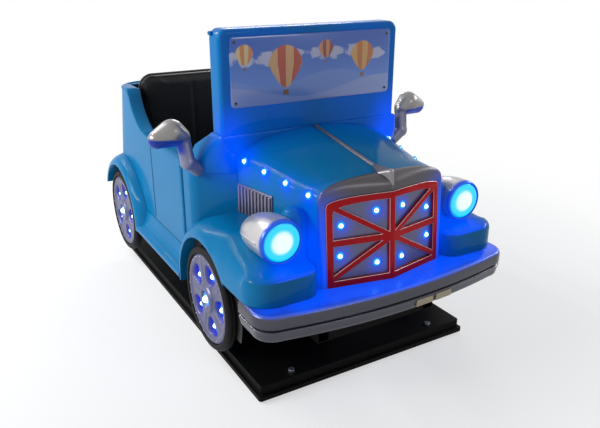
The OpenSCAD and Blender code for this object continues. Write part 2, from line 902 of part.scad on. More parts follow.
module rear_fender() {
    x_in = body_hw - fender_tuck;
    difference() {
        fender_dome(0, rear_fender_r, x_in, rear_axle_y);
        difference() {
            fender_dome(wall, rear_fender_r, x_in - 1, rear_axle_y);
            wheel_well(wall, rear_axle_y);
        }
        wheel_well(0, rear_axle_y);
        block([0, 0, -200], [500, rear_axle_y, fender_z]);
        block([0, rear_axle_y - 1, -200], [500, 900, rear_tail_z]);
        block([0, -bumper_y, 0], [500, 900, 900]);
    }
}

module rear_fenders() {
    color(blue) difference() {
        pair() rear_fender();
        tub_form(-eps, 0);
    }
}

module running_boards() {
    y0 = front_axle_y + arch_r + 20;
    y1 = rear_axle_y - arch_r - 20;
    color(blue) pair() difference() {
        along(y0, y1)
            polygon([[body_hw + eps, fender_z + 20], [fender_hw - 8, fender_z], [fender_hw, fender_z + 6],
                [fender_hw, fender_z + 20], [fender_hw - 8, fender_z + 26], [body_hw + 14, fender_z + 50],
                [body_hw + eps, fender_z + 92]]);
        fender_dome(-eps, fender_r, nose_x, front_axle_y);
        fender_dome(-eps, rear_fender_r, nose_x, rear_axle_y);
    }
}

// Plan of the bumper, drawn in by g
function bumper_plan(g) = let (
    chord = bumper_hw - bumper_r,
    bow_r = (chord * chord + bumper_bow * bumper_bow) / (2 * bumper_bow),
    half = asin(chord / bow_r),
    cy = bumper_y + bow_r,
    ky = bumper_y + bumper_bow + bumper_r)
    concat(
        [[g - bumper_hw, bumper_back_y]],
        arc(bumper_r - bumper_hw, ky, bumper_r - g, 180, 266, 6),
        arc(0, cy, bow_r - g, -90 - half * 0.98, -90 + half * 0.98, 14),
        arc(bumper_hw - bumper_r, ky, bumper_r - g, 274, 360, 6),
        [[bumper_hw - g, bumper_back_y]]);

// Outer form of the bumper, drawn in by g
module bumper_form(g) {
    crease_z = bumper_z - 42;
    translate([0, 0, crease_z]) linear_extrude(bumper_z - crease_z) polygon(bumper_plan(g));
    hull() {
        translate([0, 0, crease_z - 4]) linear_extrude(4) polygon(bumper_plan(3 + g));
        translate([0, 0, bumper_z - bumper_h]) linear_extrude(1) polygon(bumper_plan(14 + g));
    }
}

module front_bumper() {
    color(silver) difference() {
        bumper_form(0);
        translate([0, 0, bumper_z - bumper_h - 1])
            linear_extrude(bumper_h + 1 - shelf_t) polygon(bumper_plan(14 + shelf_t));
    }
}

module bumper_plates() {
    color([0.72, 0.66, 0.52]) difference() {
        for (x = [70, 142])
            translate([x, bumper_y + x * x / 4090, bumper_z - 62]) rotate([0, 0, x / 36])
                block([-30, 1.2, -9], [30, 14, 11]);
        bumper_form(-eps);
    }
}

// Headlight pod as a solid of revolution about its own axis, grown by g
module pod_form(g) {
    translate([0, lamp_y, 0]) rotate([-90, 0, 0]) rotate_extrude()
        polygon(concat([[0, 0], [lamp_r + g, 0], [lamp_r + g, 30]],
            [for (i = [1:10]) let (t = i / 10)
                [(lamp_r + g) * sqrt(1 - pow(t, 2.4)), 30 + (lamp_l - 30 + g) * t]]));
}

module headlight_pods() {
    color(silver) pair() translate([lamp_x, 0, lamp_z]) difference() {
        pod_form(0);
        rod_y(lamp_r - 6, lamp_y - 1, lamp_y + 60, 0, 0);
    }
}

module headlight_lenses() {
    seat = lamp_r - 6;
    color(glow) pair()
        translate([lamp_x, lamp_y + 8, lamp_z]) rotate([90, 0, 0]) rotate_extrude()
            polygon([[0, 10], [seat, 0], [seat, 12], [seat - 4, 17], [0, 24], [0, 20]]);
}

module headlight_bulbs() {
    color("white") pair() {
        rod_y(20, lamp_y + 20, lamp_y + 60, lamp_x, lamp_z);
    }
}

// Windscreen outline in front view, drawn in by g
module screen_outline(g) {
    h = screen_top_z - screen_foot_z;
    r = 28;
    translate([0, screen_foot_z]) {
        translate([g - screen_hw, 0]) square([screen_w - 2 * g, h - r]);
        translate([r - screen_hw, 0]) square([screen_w - 2 * r, h - g]);
        for (s = [-1, 1]) translate([s * (screen_hw - r), h - r]) circle(r - g);
    }
}

module windscreen_housing() {
    color(blue) difference() {
        union() {
            along(screen_y, screen_back_y) screen_outline(0);
            along(screen_back_y - 18, screen_back_y) translate([0, screen_top_z - 14])
                round_rect(screen_w + 24, 12, 5);
        }
        along(screen_y + wall, screen_back_y + 1) screen_outline(wall);
    }
}

module windscreen_back() {
    color(blue) difference() {
        along(screen_back_y - wall, screen_back_y) screen_outline(wall + 0.1);
        along(screen_y, screen_back_y + 5) translate([0, lcd_z]) square([lcd_w, lcd_h], center = true);
    }
}

module picture_panel() {
    color([0.55, 0.70, 0.90]) difference() {
        along(screen_y - picture_t, screen_y) translate([0, picture_z])
            round_rect(picture_w, picture_h, 14);
        picture_screw_places() rod_y(2.1, -10, 10, 0, 0);
    }
}

module picture_screw_places() {
    for (sx = [-1, 1], sz = [-1, 1])
        translate([sx * (picture_w / 2 - 14), screen_y - picture_t, picture_z + sz * (picture_h / 2 - 14)])
            children();
}

module picture_screws() {
    color(dark) picture_screw_places() {
        rod_y(4, -2, 0, 0, 0);
        rod_y(2, -1, picture_t, 0, 0);
    }
}

module lcd_screen() {
    color(dark) {
        along(screen_back_y - 24, screen_back_y - wall) translate([0, lcd_z])
            square([lcd_w + 24, lcd_h + 24], center = true);
        along(screen_back_y - wall - 1, screen_back_y + 4) translate([0, lcd_z])
            square([lcd_w - 0.4, lcd_h - 0.4], center = true);
    }
}

// A round bar between two points
module strut(p, q, r) {
    d = q - p;
    translate(p) sphere(r = r + 1.5);
    translate(p) rotate([0, acos(d[2] / norm(d)), atan2(d[1], d[0])]) cylinder(r = r, h = norm(d));
}

// Mirror head and its bent arm
module mirror_shell() {
    inner = [mirror_x - 104, mirror_y - 6, mirror_z - 24];
    elbow = [body_hw + 14, mirror_y - 22, cowl_z + 34];
    foot = [body_hw - 24, cowl_y - 24, cowl_z + 2];
    difference() {
        union() {
            hull() {
                translate([mirror_x - 28, mirror_y, mirror_z - 15]) sphere(r = 28, $fn = 24);
                translate([mirror_x - 72, mirror_y, mirror_z]) sphere(r = 40, $fn = 24);
                translate([mirror_x - 98, mirror_y - 4, mirror_z - 14]) sphere(r = 28, $fn = 24);
            }
            strut(inner, elbow, arm_r);
            strut(elbow, foot, arm_r);
        }
        block([0, mirror_y + 14, 0], [mirror_x + 20, mirror_y + 90, 900]);
    }
}

module mirror_shells() {
    color(silver) difference() {
        pair() mirror_shell();
        tub_form(-eps, 0);
        cowl_form(-eps, 0);
    }
}

module mirror_glasses() {
    color([0.8, 0.85, 0.9]) pair()
        along(mirror_y + 14, mirror_y + 16) translate([mirror_x - 66, mirror_z - 6])
            round_rect(70, 44, 20);
}

// Wheels are dress covers: a tyre ring round a bright disc
module wheel_places() {
    pair() for (y = axle_ys) translate([0, y, axle_z]) rotate([0, 90, 0]) children();
}

// Places of the lamps in a wheel's recesses
module wheel_lamp_places() {
    for (i = [0:4]) rotate(72 * i - 90) translate([88, 0, wheel_in_x + 8]) children();
}

module tyres() {
    color(dark) wheel_places() rotate_extrude($fn = 96)
        polygon([[disc_r, wheel_in_x], [disc_r + tyre_t - 5, wheel_in_x], [disc_r + tyre_t, wheel_in_x + 6],
            [disc_r + tyre_t, wheel_out_x - 9], [disc_r + tyre_t - 7, wheel_out_x - 2],
            [disc_r + 4, wheel_out_x],
            [disc_r, wheel_out_x - 3]]);
}

module wheel_discs() {
    hole_r = 27;
    color(silver) wheel_places() difference() {
        union() {
            translate([0, 0, wheel_in_x]) cylinder(r = disc_r, h = wheel_w - 6);
            translate([0, 0, wheel_in_x]) cylinder(r = 46, h = wheel_w + 2);
            translate([0, 0, liner_x]) cylinder(r = 60, h = wheel_in_x - liner_x + 1);
        }
        wheel_lamp_places() cylinder(r = hole_r, h = wheel_w);
        translate([0, 0, wheel_out_x - 8]) cylinder(r = 24, h = 30);
    }
}

module wheel_lamps() {
    color(glow) wheel_places() {
        wheel_lamp_places() lamp_dome(10);
        translate([0, 0, wheel_out_x - 8]) lamp_dome(14);
    }
}

// Half-round lamp standing on its flat face
module lamp_dome(r) {
    rotate_extrude() polygon(concat([[0, 0]], arc(0, 0, r, 0, 90, 8)));
}

module seat_base() {
    hw = seat_w / 2;
    top = seat_z - seat_t;
    color(dark) difference() {
        block([-hw, seat_y, floor_z + wall], [hw, seat_y + seat_depth + back_t, top]);
        block([-hw + wall, seat_y + wall, floor_z],
            [hw - wall, seat_y + seat_depth + back_t - wall, top - wall]);
    }
}

module seat_cushion() {
    color(dark) translate([0, seat_y + seat_depth / 2, seat_z - seat_t + eps])
        linear_extrude(seat_t - eps) round_rect(seat_w - 4, seat_depth - 2, 30);
}

module seat_back() {
    low = seat_z - seat_t + eps;
    y0 = seat_y + seat_depth + eps;
    color(dark) intersection() {
        along(y0, y0 + back_t - eps) translate([0, (low + seat_top_z) / 2 - 40])
            round_rect(seat_w - 4, seat_top_z - low + 80, 50);
        block([-500, 0, low], [500, 900, 900]);
    }
}

module dash_panel() {
    hw = body_hw - wall;
    color(blue) difference() {
        block([-hw, dash_y - dash_t, floor_z + wall], [hw, dash_y, cowl_z]);
        along(dash_y - 20, dash_y + 5) {
            translate([door_hinge_x + 16, door_z + 12]) square([door_w - 30, door_h - 24]);
            translate([coin_x, coin_z]) square([60, 96], center = true);
            for (s = [-1, 1]) translate([s * button_x, button_z]) circle(button_r + button_gap);
            for (s = [-1, 1], a = [0:45:315])
                translate([s * speaker_x + 20 * cos(a), speaker_z + 20 * sin(a)]) circle(5);
        }
    }
}

module speakers() {
    back = dash_y - dash_t;
    color(dark) for (s = [-1, 1]) translate([s * speaker_x, 0, speaker_z]) {
        rod_y(34, back - 8, back, 0, 0);
        rod_y(22, back - 30, back - 8, 0, 0);
    }
}

module steering_column() {
    color(dark) difference() {
        on_steering() {
            translate([0, 0, -140]) cylinder(r = column_r, h = 130);
            translate([0, 0, -11]) cylinder(r = spindle_r, h = 17);
            translate([0, 0, -140]) cylinder(r1 = 44, r2 = 20, h = 60);
        }
        block([-100, dash_y - 200, 300], [100, dash_y, 800]);
    }
}

module steering_wheel() {
    color(dark) on_steering() difference() {
        union() {
            translate([0, 0, 10]) rotate_extrude($fn = 96) translate([steer_r, 0]) circle(13);
            translate([0, 0, -8]) cylinder(r = hub_r, h = 30);
            for (a = [90, 210, 330]) rotate(a)
                translate([hub_r - 8, -14, 3]) cube([steer_r - hub_r, 28, 9]);
        }
        translate([0, 0, -20]) cylinder(r = spindle_r + running, h = 40);
        translate([0, 0, 8]) cylinder(r = horn_r + button_gap, h = 40);
    }
}

module horn_button() {
    color(red) on_steering() {
        translate([0, 0, 8 + horn_travel + 0.5]) cylinder(r = horn_r, h = 11);
        translate([0, 0, 8 + horn_travel + 11]) rotate_extrude()
            polygon([[0, 0], [horn_r, 0], [horn_r - 3, 4], [horn_r - 9, 7], [0, 9]]);
    }
}

// Round start button with its stem through the dash
module start_button(x) {
    translate([x, dash_y, button_z]) rotate([-90, 0, 0]) {
        translate([0, 0, -16]) cylinder(r = button_r, h = 16 + button_travel + 2);
        translate([0, 0, button_travel + 0.5]) cylinder(r = button_r + 3, h = 7);
    }
}

module start_button_left() {
    color(glow) start_button(button_x);
}

module start_button_right() {
    color(red) start_button(-button_x);
}

// Coin acceptor: face plate with a slot, a reject button's hole and a return cup, and its housing
module coin_acceptor() {
    color(silver) {
        along(dash_y, dash_y + 4) difference() {
            translate([coin_x, coin_z]) round_rect(84, 124, 8);
            translate([coin_x - 12, coin_z + 26]) square([5, 32], center = true);
            translate([coin_x + 16, coin_z + 26]) circle(reject_r + button_gap);
            translate([coin_x, coin_z - 26]) square([44, 36], center = true);
        }
        along(dash_y - 60, dash_y) difference() {
            translate([coin_x, coin_z]) square([58, 94], center = true);
            translate([coin_x, coin_z]) square([54, 90], center = true);
        }
    }
}

module reject_button() {
    color(red) translate([coin_x + 16, dash_y, coin_z + 26]) rotate([-90, 0, 0]) {
        translate([0, 0, -8]) cylinder(r = reject_r, h = 18);
    }
}

// Hinge frames: local X along the pin, local Y out of the panel, the door hangs down local Z
module on_coin_hinge() {
    translate([door_hinge_x, dash_y + hinge_off, door_z + door_h / 2]) rotate([0, -90, 0]) children();
}

module on_hatch_hinge() {
    on_rear(hatch_z) translate([0, hinge_off, hatch_l]) children();
}

// Fixed half of a hinge of width w: the pin, and a knuckle and leaf on each side
module fixed_hinge(w) {
    rod_x(pin_r, -w / 2, w / 2, 0, 0);
    for (s = [0, 1]) mirror([s, 0, 0]) {
        rod_x(knuckle_r, w / 6 + plate_gap, w / 2, 0, 0);
        block([w / 6 + plate_gap, 0.1 - hinge_off, 0], [w / 2, leaf_t - hinge_off, knuckle_r + 9]);
    }
}

// A flat door of width w and length l on its moving knuckle, with a hole for the lock
module hinged_door(w, l) {
    back = plate_gap - hinge_off;
    difference() {
        union() {
            block([-w / 2, back, -l], [w / 2, back + leaf_t, -knuckle_r - 2]);
            block([1 - w / 6, back, -knuckle_r - 3], [w / 6 - 1, back + leaf_t, 0]);
            rod_x(knuckle_r, plate_gap - w / 6, w / 6 - plate_gap, 0, 0);
        }
        rod_x(pin_r + running, -w, w, 0, 0);
        rod_y(lock_r + running, -40, 40, 0, lock_in - l);
    }
}

// Cam lock of a door of length l on a panel of thickness t; its cam grips behind the panel
module cam_lock(l, t) {
    back = plate_gap - hinge_off;
    cam = -hinge_off - t - 1;
    translate([0, 0, lock_in - l]) difference() {
        union() {
            rod_y(lock_r + 3, back + leaf_t + plate_gap, back + leaf_t + 4, 0, 0);
            rod_y(lock_r, back - 1, back + leaf_t + 1, 0, 0);
            rod_y(6, cam - 3, back, 0, 0);
            block([-8, cam - 3, -6], [lock_in - 4, cam, 6]);
        }
        block([-5, back + leaf_t + 2, -1], [5, back + leaf_t + 9, 1]);
    }
}

module door_hinges() {
    color(steel) {
        on_coin_hinge() fixed_hinge(door_h);
        on_hatch_hinge() fixed_hinge(hatch_w);
    }
}

module coin_door() {
    color(steel) on_coin_hinge() hinged_door(door_h, door_w);
}

module coin_lock() {
    color(silver) on_coin_hinge() cam_lock(door_w, dash_t);
}

module coin_box() {
    x0 = door_hinge_x + 22;
    x1 = door_hinge_x + door_w - 18;
    y1 = dash_y - dash_t - 8;
    color(steel) difference() {
        block([x0, y1 - 90, floor_z + wall], [x1, y1, door_z + door_h - 30]);
        block([x0 + 2, y1 - 88, floor_z + wall + 2], [x1 - 2, y1 - 2, 700]);
    }
}

module rear_hatch() {
    color(blue) on_hatch_hinge() hinged_door(hatch_w, hatch_l);
}

module hatch_lock() {
    color(silver) on_hatch_hinge() cam_lock(hatch_l, wall);
}

module controller() {
    color(steel) block([-100, deck_y + 50, floor_z + wall], [100, deck_y + 130, floor_z + 100]);
}

base_pan();
base_feet();
base_bolts();
base_stands();
pivot_bearings();
gearbox();
drive_motor();
power_box();
power_switch();
crank();
crank_roller();
pivot_shaft();
chassis_frame();
drive_yoke();
body_tub();
cowl();
hood();
hood_trim();
body_lamps();
side_louvres();
radiator_surround();
grille_panel();
grille_frame();
front_fenders();
rear_fenders();
running_boards();
front_bumper();
bumper_plates();
headlight_pods();
headlight_lenses();
headlight_bulbs();
windscreen_housing();
windscreen_back();
picture_panel();
picture_screws();
lcd_screen();
mirror_shells();
mirror_glasses();
tyres();
wheel_discs();
wheel_lamps();
seat_base();
seat_cushion();
seat_back();
dash_panel();
speakers();
steering_column();
steering_wheel();
horn_button();
start_button_left();
start_button_right();
coin_acceptor();
reject_button();
door_hinges();
coin_door();
coin_lock();
coin_box();
rear_hatch();
hatch_lock();
controller();
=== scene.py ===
import bpy, bmesh, json
from contextlib import contextmanager
from math import acos, asin, atan2, cos, degrees, exp, hypot, pi, radians, sin, sqrt, tan
from mathutils import Vector, Matrix


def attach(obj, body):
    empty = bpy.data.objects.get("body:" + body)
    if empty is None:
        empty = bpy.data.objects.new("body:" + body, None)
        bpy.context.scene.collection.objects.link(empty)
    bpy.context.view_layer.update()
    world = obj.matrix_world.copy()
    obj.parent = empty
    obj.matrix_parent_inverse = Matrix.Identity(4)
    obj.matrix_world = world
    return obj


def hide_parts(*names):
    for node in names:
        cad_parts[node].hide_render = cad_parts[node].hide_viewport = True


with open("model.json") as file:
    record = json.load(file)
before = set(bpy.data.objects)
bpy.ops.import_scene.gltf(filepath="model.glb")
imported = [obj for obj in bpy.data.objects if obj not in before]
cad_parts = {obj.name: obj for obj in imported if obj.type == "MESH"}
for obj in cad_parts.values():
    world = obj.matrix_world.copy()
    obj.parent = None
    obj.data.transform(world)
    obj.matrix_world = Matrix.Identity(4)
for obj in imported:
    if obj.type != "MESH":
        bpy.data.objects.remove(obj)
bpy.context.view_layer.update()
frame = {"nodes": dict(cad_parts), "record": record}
scene = bpy.context.scene
scene.view_settings.view_transform = "Standard"
mm = 0.001
print("frame loaded", len(frame["nodes"]), "nodes")

# camera
shot = {"place": (-1.0397, -1.9694, 1.1544), "azimuth": -30.35, "elevation": 21.13, "lens": 38.606}


def placeCamera():
    turn, rise = radians(shot["azimuth"]), radians(shot["elevation"])
    ahead = Vector((-sin(turn) * cos(rise), cos(turn) * cos(rise), -sin(rise)))
    data = bpy.data.cameras.new("camera")
    data.lens, data.sensor_width = shot["lens"], 36
    camera = bpy.data.objects.new("camera", data)
    scene.collection.objects.link(camera)
    camera.location = shot["place"]
    camera.rotation_euler = ahead.to_track_quat("-Z", "Y").to_euler()
    scene.camera = camera


placeCamera()


# a socket with operators, so that masks read as sums
class Wire:
    def __init__(self, finish, socket):
        self.finish, self.socket = finish, socket

    def calc(self, operation, *values):
        return self.finish.add("Math", {"operation": operation}, dict(enumerate(values)))

    def smooth(self, low, high):
        return self.finish.add("MapRange", {"interpolation_type": "SMOOTHSTEP"},
                               {"Value": self, "From Min": low, "From Max": high})

    def bell(self, width):
        return self.calc("EXPONENT", (self / width) ** 2 * -1)


for title, kind in {"__add__": "ADD", "__sub__": "SUBTRACT", "__mul__": "MULTIPLY", "__truediv__": "DIVIDE",
                    "__pow__": "POWER", "abs": "ABSOLUTE", "sin": "SINE", "sqrt": "SQRT", "max": "MAXIMUM",
                    "min": "MINIMUM"}.items():
    setattr(Wire, title, lambda self, *other, kind=kind: self.calc(kind, self, *other))
for title, kind in {"__radd__": "ADD", "__rsub__": "SUBTRACT"}.items():
    setattr(Wire, title, lambda self, other, kind=kind: self.calc(kind, other, self))


# a material: its surface node, and the nodes that feed it
class Finish:
    def __init__(self, name, **fixed):
        self.material = bpy.data.materials.new(name)
        self.material.use_nodes = True
        self.tree = self.material.node_tree
        self.tree.nodes.clear()
        self.surface = self.tree.nodes.new("ShaderNodeBsdfPrincipled")
        self.out = self.tree.nodes.new("ShaderNodeOutputMaterial")
        self.tree.links.new(self.surface.outputs[0], self.out.inputs[0])
        self.give(**fixed)
        self.point = self.add("TexCoord", output="Object")

    def add(self, kind, settings=None, inputs=None, output=0):
        node = self.tree.nodes.new("ShaderNode" + kind)
        for key, value in (settings or {}).items():
            setattr(node, key, value)
        for key, value in (inputs or {}).items():
            self.join(value, node.inputs[key])
        return Wire(self, node.outputs[output])

    def join(self, value, socket):
        if isinstance(value, Wire):
            self.tree.links.new(value.socket, socket)
        elif socket.type == "RGBA" and len(value) == 3:
            socket.default_value = (*value, 1)
        else:
            socket.default_value = value

    def give(self, **values):
        for key, value in values.items():
            words = [w if w.isupper() else w.capitalize() for w in key.split("_")]
            self.join(value, self.surface.inputs[" ".join(words)])
        return self

    def axes(self):
        made = self.add("SeparateXYZ", None, {0: self.point})
        return [Wire(self, s) for s in made.socket.node.outputs]

    def grain(self, scale, detail=3, rough=0.5):
        return self.add("TexNoise", None,
                        {"Vector": self.point, "Scale": scale, "Detail": detail, "Roughness": rough})

    def blend(self, mask, first, second):
        return self.add("Mix", {"data_type": "RGBA"}, {0: mask, 6: first, 7: second}, output=2)

    def bump(self, height, strength, depth, base=None):
        inputs = {"Height": height, "Strength": strength, "Distance": depth}
        if base:
            inputs["Normal"] = base
        return self.add("Bump", None, inputs)

    def rounded(self, radius):
        return self.add("Bevel", {"samples": 6}, {"Radius": radius})

    def near(self, spots):
        x, y, z = self.axes()
        folded = self.add("CombineXYZ", None, {0: x.abs(), 1: y, 2: z})
        total = None
        for px, py, pz, width, power, *low in spots:
            spot = (px * mm, py * mm, pz * mm)
            away = self.add("VectorMath", {"operation": "DISTANCE"}, {0: folded, 1: spot}, output="Value")
            part = away.bell(width * mm) * power
            if low:
                part = part * z.smooth((low[0] - 8) * mm, low[0] * mm)
            total = part if total is None else total + part
        return total


# lamp glow painted onto the blue paint on both sides: place, reach and power, and a height where it ends
paintedGlowSpots = [
    (265, -322, 616, 17, 1.0), (248, -415, 606, 17, 1.0), (230, -507, 596, 17, 1.0), (213, -599, 586, 17, 1.0),
    (265, -322, 612, 48, 0.55), (248, -415, 598, 42, 0.45), (230, -507, 588, 42, 0.45), (213, -599, 572, 48, 0.55),
    (318, -672, 420, 62, 1.0, 410), (262, -660, 415, 55, 0.9, 410), (214, -625, 470, 58, 0.95),
    (212, -615, 380, 60, 0.7), (285, -300, 640, 62, 0.6), (296, -282, 712, 62, 0.6), (300, -275, 590, 70, 0.30),
    (190, -285, 960, 190, 0.16), (150, -285, 770, 170, 0.16)]
glowBlue, dark = (0.0, 0.075, 0.92), (0, 0, 0)


def toned(colour, share):
    return tuple(min(1, c * share) for c in colour)


# painted lamp light: near a lamp, the paint's colour gives way to a painted lit tone, and a painted blue glow is added
def paintedGlowTone(paint, tone, spots, share, lit):
    glow = paint.near(spots).min(1)
    paint.give(emission_color=paint.blend(glow, dark, glowBlue), emission_strength=0.95)
    return paint.blend(glow * share, tone, lit)


def gelcoat(name, colour, spots=paintedGlowSpots):
    paint = Finish(name, specular_IOR_level=0.02, coat_weight=0.17, coat_roughness=0.04)
    cloud, peel, dust = paint.grain(3.5), paint.grain(190, 2), paint.grain(26, 5, 0.65)
    tone = paint.blend(cloud, toned(colour, 0.86), toned(colour, 1.1))
    if spots:
        # painted lamp glow and a painted lit tone near the lamps
        tone = paintedGlowTone(paint, tone, spots, 0.8, (0.0, 0.02, 0.12))
    paint.give(base_color=tone, roughness=0.16 + dust * 0.14,
               normal=paint.bump(peel, 0.012, 0.0006, paint.rounded(0.004)))
    return paint.material


def metalPaint(name, colour, spots=None, rough=0.34, metal=0.75, lit=(0.0, 0.015, 0.10)):
    paint = Finish(name, metallic=metal)
    flake, cloud = paint.grain(900, 1), paint.grain(7, 4)
    tone = paint.blend(flake * 0.5 + cloud * 0.5, toned(colour, 0.8), toned(colour, 1.12))
    if spots:
        # painted lamp glow and a painted lit tone near the lamps
        tone = paintedGlowTone(paint, tone, spots, 0.85, lit)
    paint.give(base_color=tone, roughness=rough - 0.06 + cloud * 0.14,
               normal=paint.bump(flake, 0.04, 0.0004, paint.rounded(0.003)))
    return paint.material


def blackSteel():
    paint = Finish("blackSteel", specular_IOR_level=0.06)
    speck, scuff = paint.grain(420, 2), paint.grain(14, 6, 0.7)
    worn = scuff.smooth(0.62, 0.74)
    paint.give(base_color=paint.blend(worn * 0.5, (0.0028, 0.0028, 0.0028), (0.012, 0.012, 0.0125)),
               roughness=0.42 + scuff * 0.25, normal=paint.bump(speck, 0.12, 0.0008, paint.rounded(0.0025)))
    return paint.material


def moulded(name, colour, rough=0.5):
    resin = Finish(name)
    pebble, cloud = resin.grain(700, 2), resin.grain(9, 3)
    resin.give(base_color=resin.blend(cloud, toned(colour, 0.8), toned(colour, 1.2)),
               roughness=rough + cloud * 0.12, normal=resin.bump(pebble, 0.18, 0.0006, resin.rounded(0.002)))
    return resin.material


def bareSteel(colour=(0.55, 0.56, 0.58)):
    steel = Finish("bareSteel", metallic=1.0)
    x, y, z = steel.axes()
    stretched = steel.add("CombineXYZ", None, {0: x * 30, 1: y * 900, 2: z * 900})
    brush = steel.add("TexNoise", None, {"Vector": stretched, "Scale": 1, "Detail": 2})
    steel.give(base_color=steel.blend(brush, toned(colour, 0.75), colour), roughness=0.28 + brush * 0.16,
               normal=steel.bump(brush, 0.06, 0.0004, steel.rounded(0.0015)))
    return steel.material


def vinyl():
    hide = Finish("seatVinyl", specular_IOR_level=0.22)
    cells = hide.add("TexVoronoi", {"feature": "DISTANCE_TO_EDGE"},
                     {"Vector": hide.point, "Scale": 320})
    cloud, crease = hide.grain(8, 4), hide.grain(46, 4)
    hide.give(base_color=hide.blend(cloud, (0.0035, 0.0035, 0.004), (0.009, 0.009, 0.0095)),
              roughness=0.34 + cloud * 0.16,
              normal=hide.bump(cells.smooth(0, 0.25) + crease * 0.8, 0.35, 0.0012))
    return hide.material


def rubber():
    tyre = Finish("tyreRubber", specular_IOR_level=0.12)
    speck, cloud = tyre.grain(500, 2), tyre.grain(12, 4)
    tyre.give(base_color=tyre.blend(cloud, (0.003, 0.003, 0.0035), (0.010, 0.010, 0.011)),
              roughness=0.48 + cloud * 0.2, normal=tyre.bump(speck, 0.2, 0.0008))
    return tyre.material


def lampGlow(name, colour, power, skin):
    lamp = Finish(name, roughness=0.15, specular_IOR_level=0.2, emission_strength=power)
    spark = lamp.grain(160, 1)
    lamp.give(base_color=lamp.blend(spark * 0.3, skin, toned(skin, 0.6)),
              emission_color=lamp.blend(spark * 0.25, colour, toned(colour, 0.8)))
    return lamp.material


print("finish tools ready")


# mesh tools; builders work in millimetres
def addObject(name, mesh):
    made = bpy.data.objects.new(name, mesh)
    scene.collection.objects.link(made)
    return made


@contextmanager
def editing(mesh):
    work = bmesh.new()
    work.from_mesh(mesh)
    yield work
    work.to_mesh(mesh)
    work.free()


def shade(mesh, angle=35):
    mesh.polygons.foreach_set("use_smooth", [True] * len(mesh.polygons))
    mesh.set_sharp_from_angle(angle=radians(angle))


def build(name, verts, faces, outward=True):
    mesh = bpy.data.meshes.new(name)
    mesh.from_pydata([(x * mm, y * mm, z * mm) for x, y, z in verts], [], faces)
    with editing(mesh) as work:
        bmesh.ops.remove_doubles(work, verts=work.verts, dist=0.00001)
        if outward:
            bmesh.ops.recalc_face_normals(work, faces=work.faces)
    return addObject(name, mesh)


def loft(rings, closed=True, start=False, end=False):
    count = len(rings[0])
    verts = [p for ring in rings for p in ring]
    faces = []
    for row in range(len(rings) - 1):
        for j in range(count if closed else count - 1):
            k = (j + 1) % count
            low, high = row * count, (row + 1) * count
            faces.append((low + j, low + k, high + k, high + j))
    if start:
        faces.append(tuple(range(count))[::-1])
    if end:
        faces.append(tuple(range((len(rings) - 1) * count, len(rings) * count)))
    return verts, faces


def solid(name, rings):
    return build(name, *loft(rings, True, True, True))


def level(outline, z):
    return [(x, y, z) for x, y in outline]


def upright(outline, y):
    return [(x, y, z) for x, z in outline]


def bothSides(half, shared=False):
    return half + [(-x, *rest) for x, *rest in half[-2 if shared else -1::-1]]


def parts(total, steps, first=0, last=None):
    return [total * k / steps for k in range(first, steps if last is None else last)]


def joined(*groups):
    verts, faces = [], []
    for more, loops in groups:
        faces += [tuple(i + len(verts) for i in loop) for loop in loops]
        verts += more
    return verts, faces


def pair(name, group):
    verts, faces = group
    return build(name, *joined(group, ([(-x, y, z) for x, y, z in verts], [loop[::-1] for loop in faces])))


# turns a profile of radius and place round an axis along x or y
def lathe(profile, centre, axis, steps, closed=False):
    cx, cy, cz = centre
    rings = []
    for a in parts(2 * pi, steps):
        c, s = cos(a), sin(a)
        if axis == "x":
            rings.append([(cx + along, cy + r * c, cz + r * s) for r, along in profile])
        else:
            rings.append([(cx + r * c, cy + along, cz + r * s) for r, along in profile])
    return loft(rings + [rings[0]], closed)


def bake(obj):
    depth = bpy.context.evaluated_depsgraph_get()
    mesh = bpy.data.meshes.new_from_object(obj.evaluated_get(depth))
    obj.modifiers.clear()
    obj.data = mesh
    return obj


def modify(obj, kind, **settings):
    added = obj.modifiers.new(kind.lower(), kind)
    for key, value in settings.items():
        setattr(added, key, value)
    return added


def bevel(obj, width, steps=3, angle=35, **more):
    modify(obj, "BEVEL", width=width * mm, segments=steps, limit_method="ANGLE", angle_limit=radians(angle),
           harden_normals=False, **more)
    return bake(obj)


def remesh(obj, voxel, rounds):
    modify(obj, "REMESH", mode="VOXEL", voxel_size=voxel * mm)
    modify(obj, "SMOOTH", factor=0.5, iterations=rounds)
    return bake(obj)


def carve(obj, *tools):
    for tool in tools:
        modify(obj, "BOOLEAN", operation="DIFFERENCE", object=tool, solver="EXACT")
        bake(obj)
        bpy.data.objects.remove(tool)
    return obj


# a copy of a solid's mesh, with its flat faces whole again
def merged(node):
    mesh = frame["nodes"][node].data.copy()
    mesh.materials.clear()
    with editing(mesh) as work:
        bmesh.ops.remove_doubles(work, verts=work.verts, dist=0.00002)
        bmesh.ops.dissolve_limit(work, angle_limit=radians(0.6), verts=work.verts, edges=work.edges)
    return addObject(node + "Form", mesh)


# names a piece and gives it its finish, which is its slot's own unless another is given
def dress(obj, name, slot, *nodes, look=None, angle=35, body="car"):
    obj.name = obj.data.name = name
    for item in look if isinstance(look, tuple) else [look or slotFinish[slot]]:
        if item.name not in obj.data.materials:
            obj.data.materials.append(item)
    shade(obj.data, angle)
    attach(obj, body)
    if nodes:
        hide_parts(*nodes)
    return obj


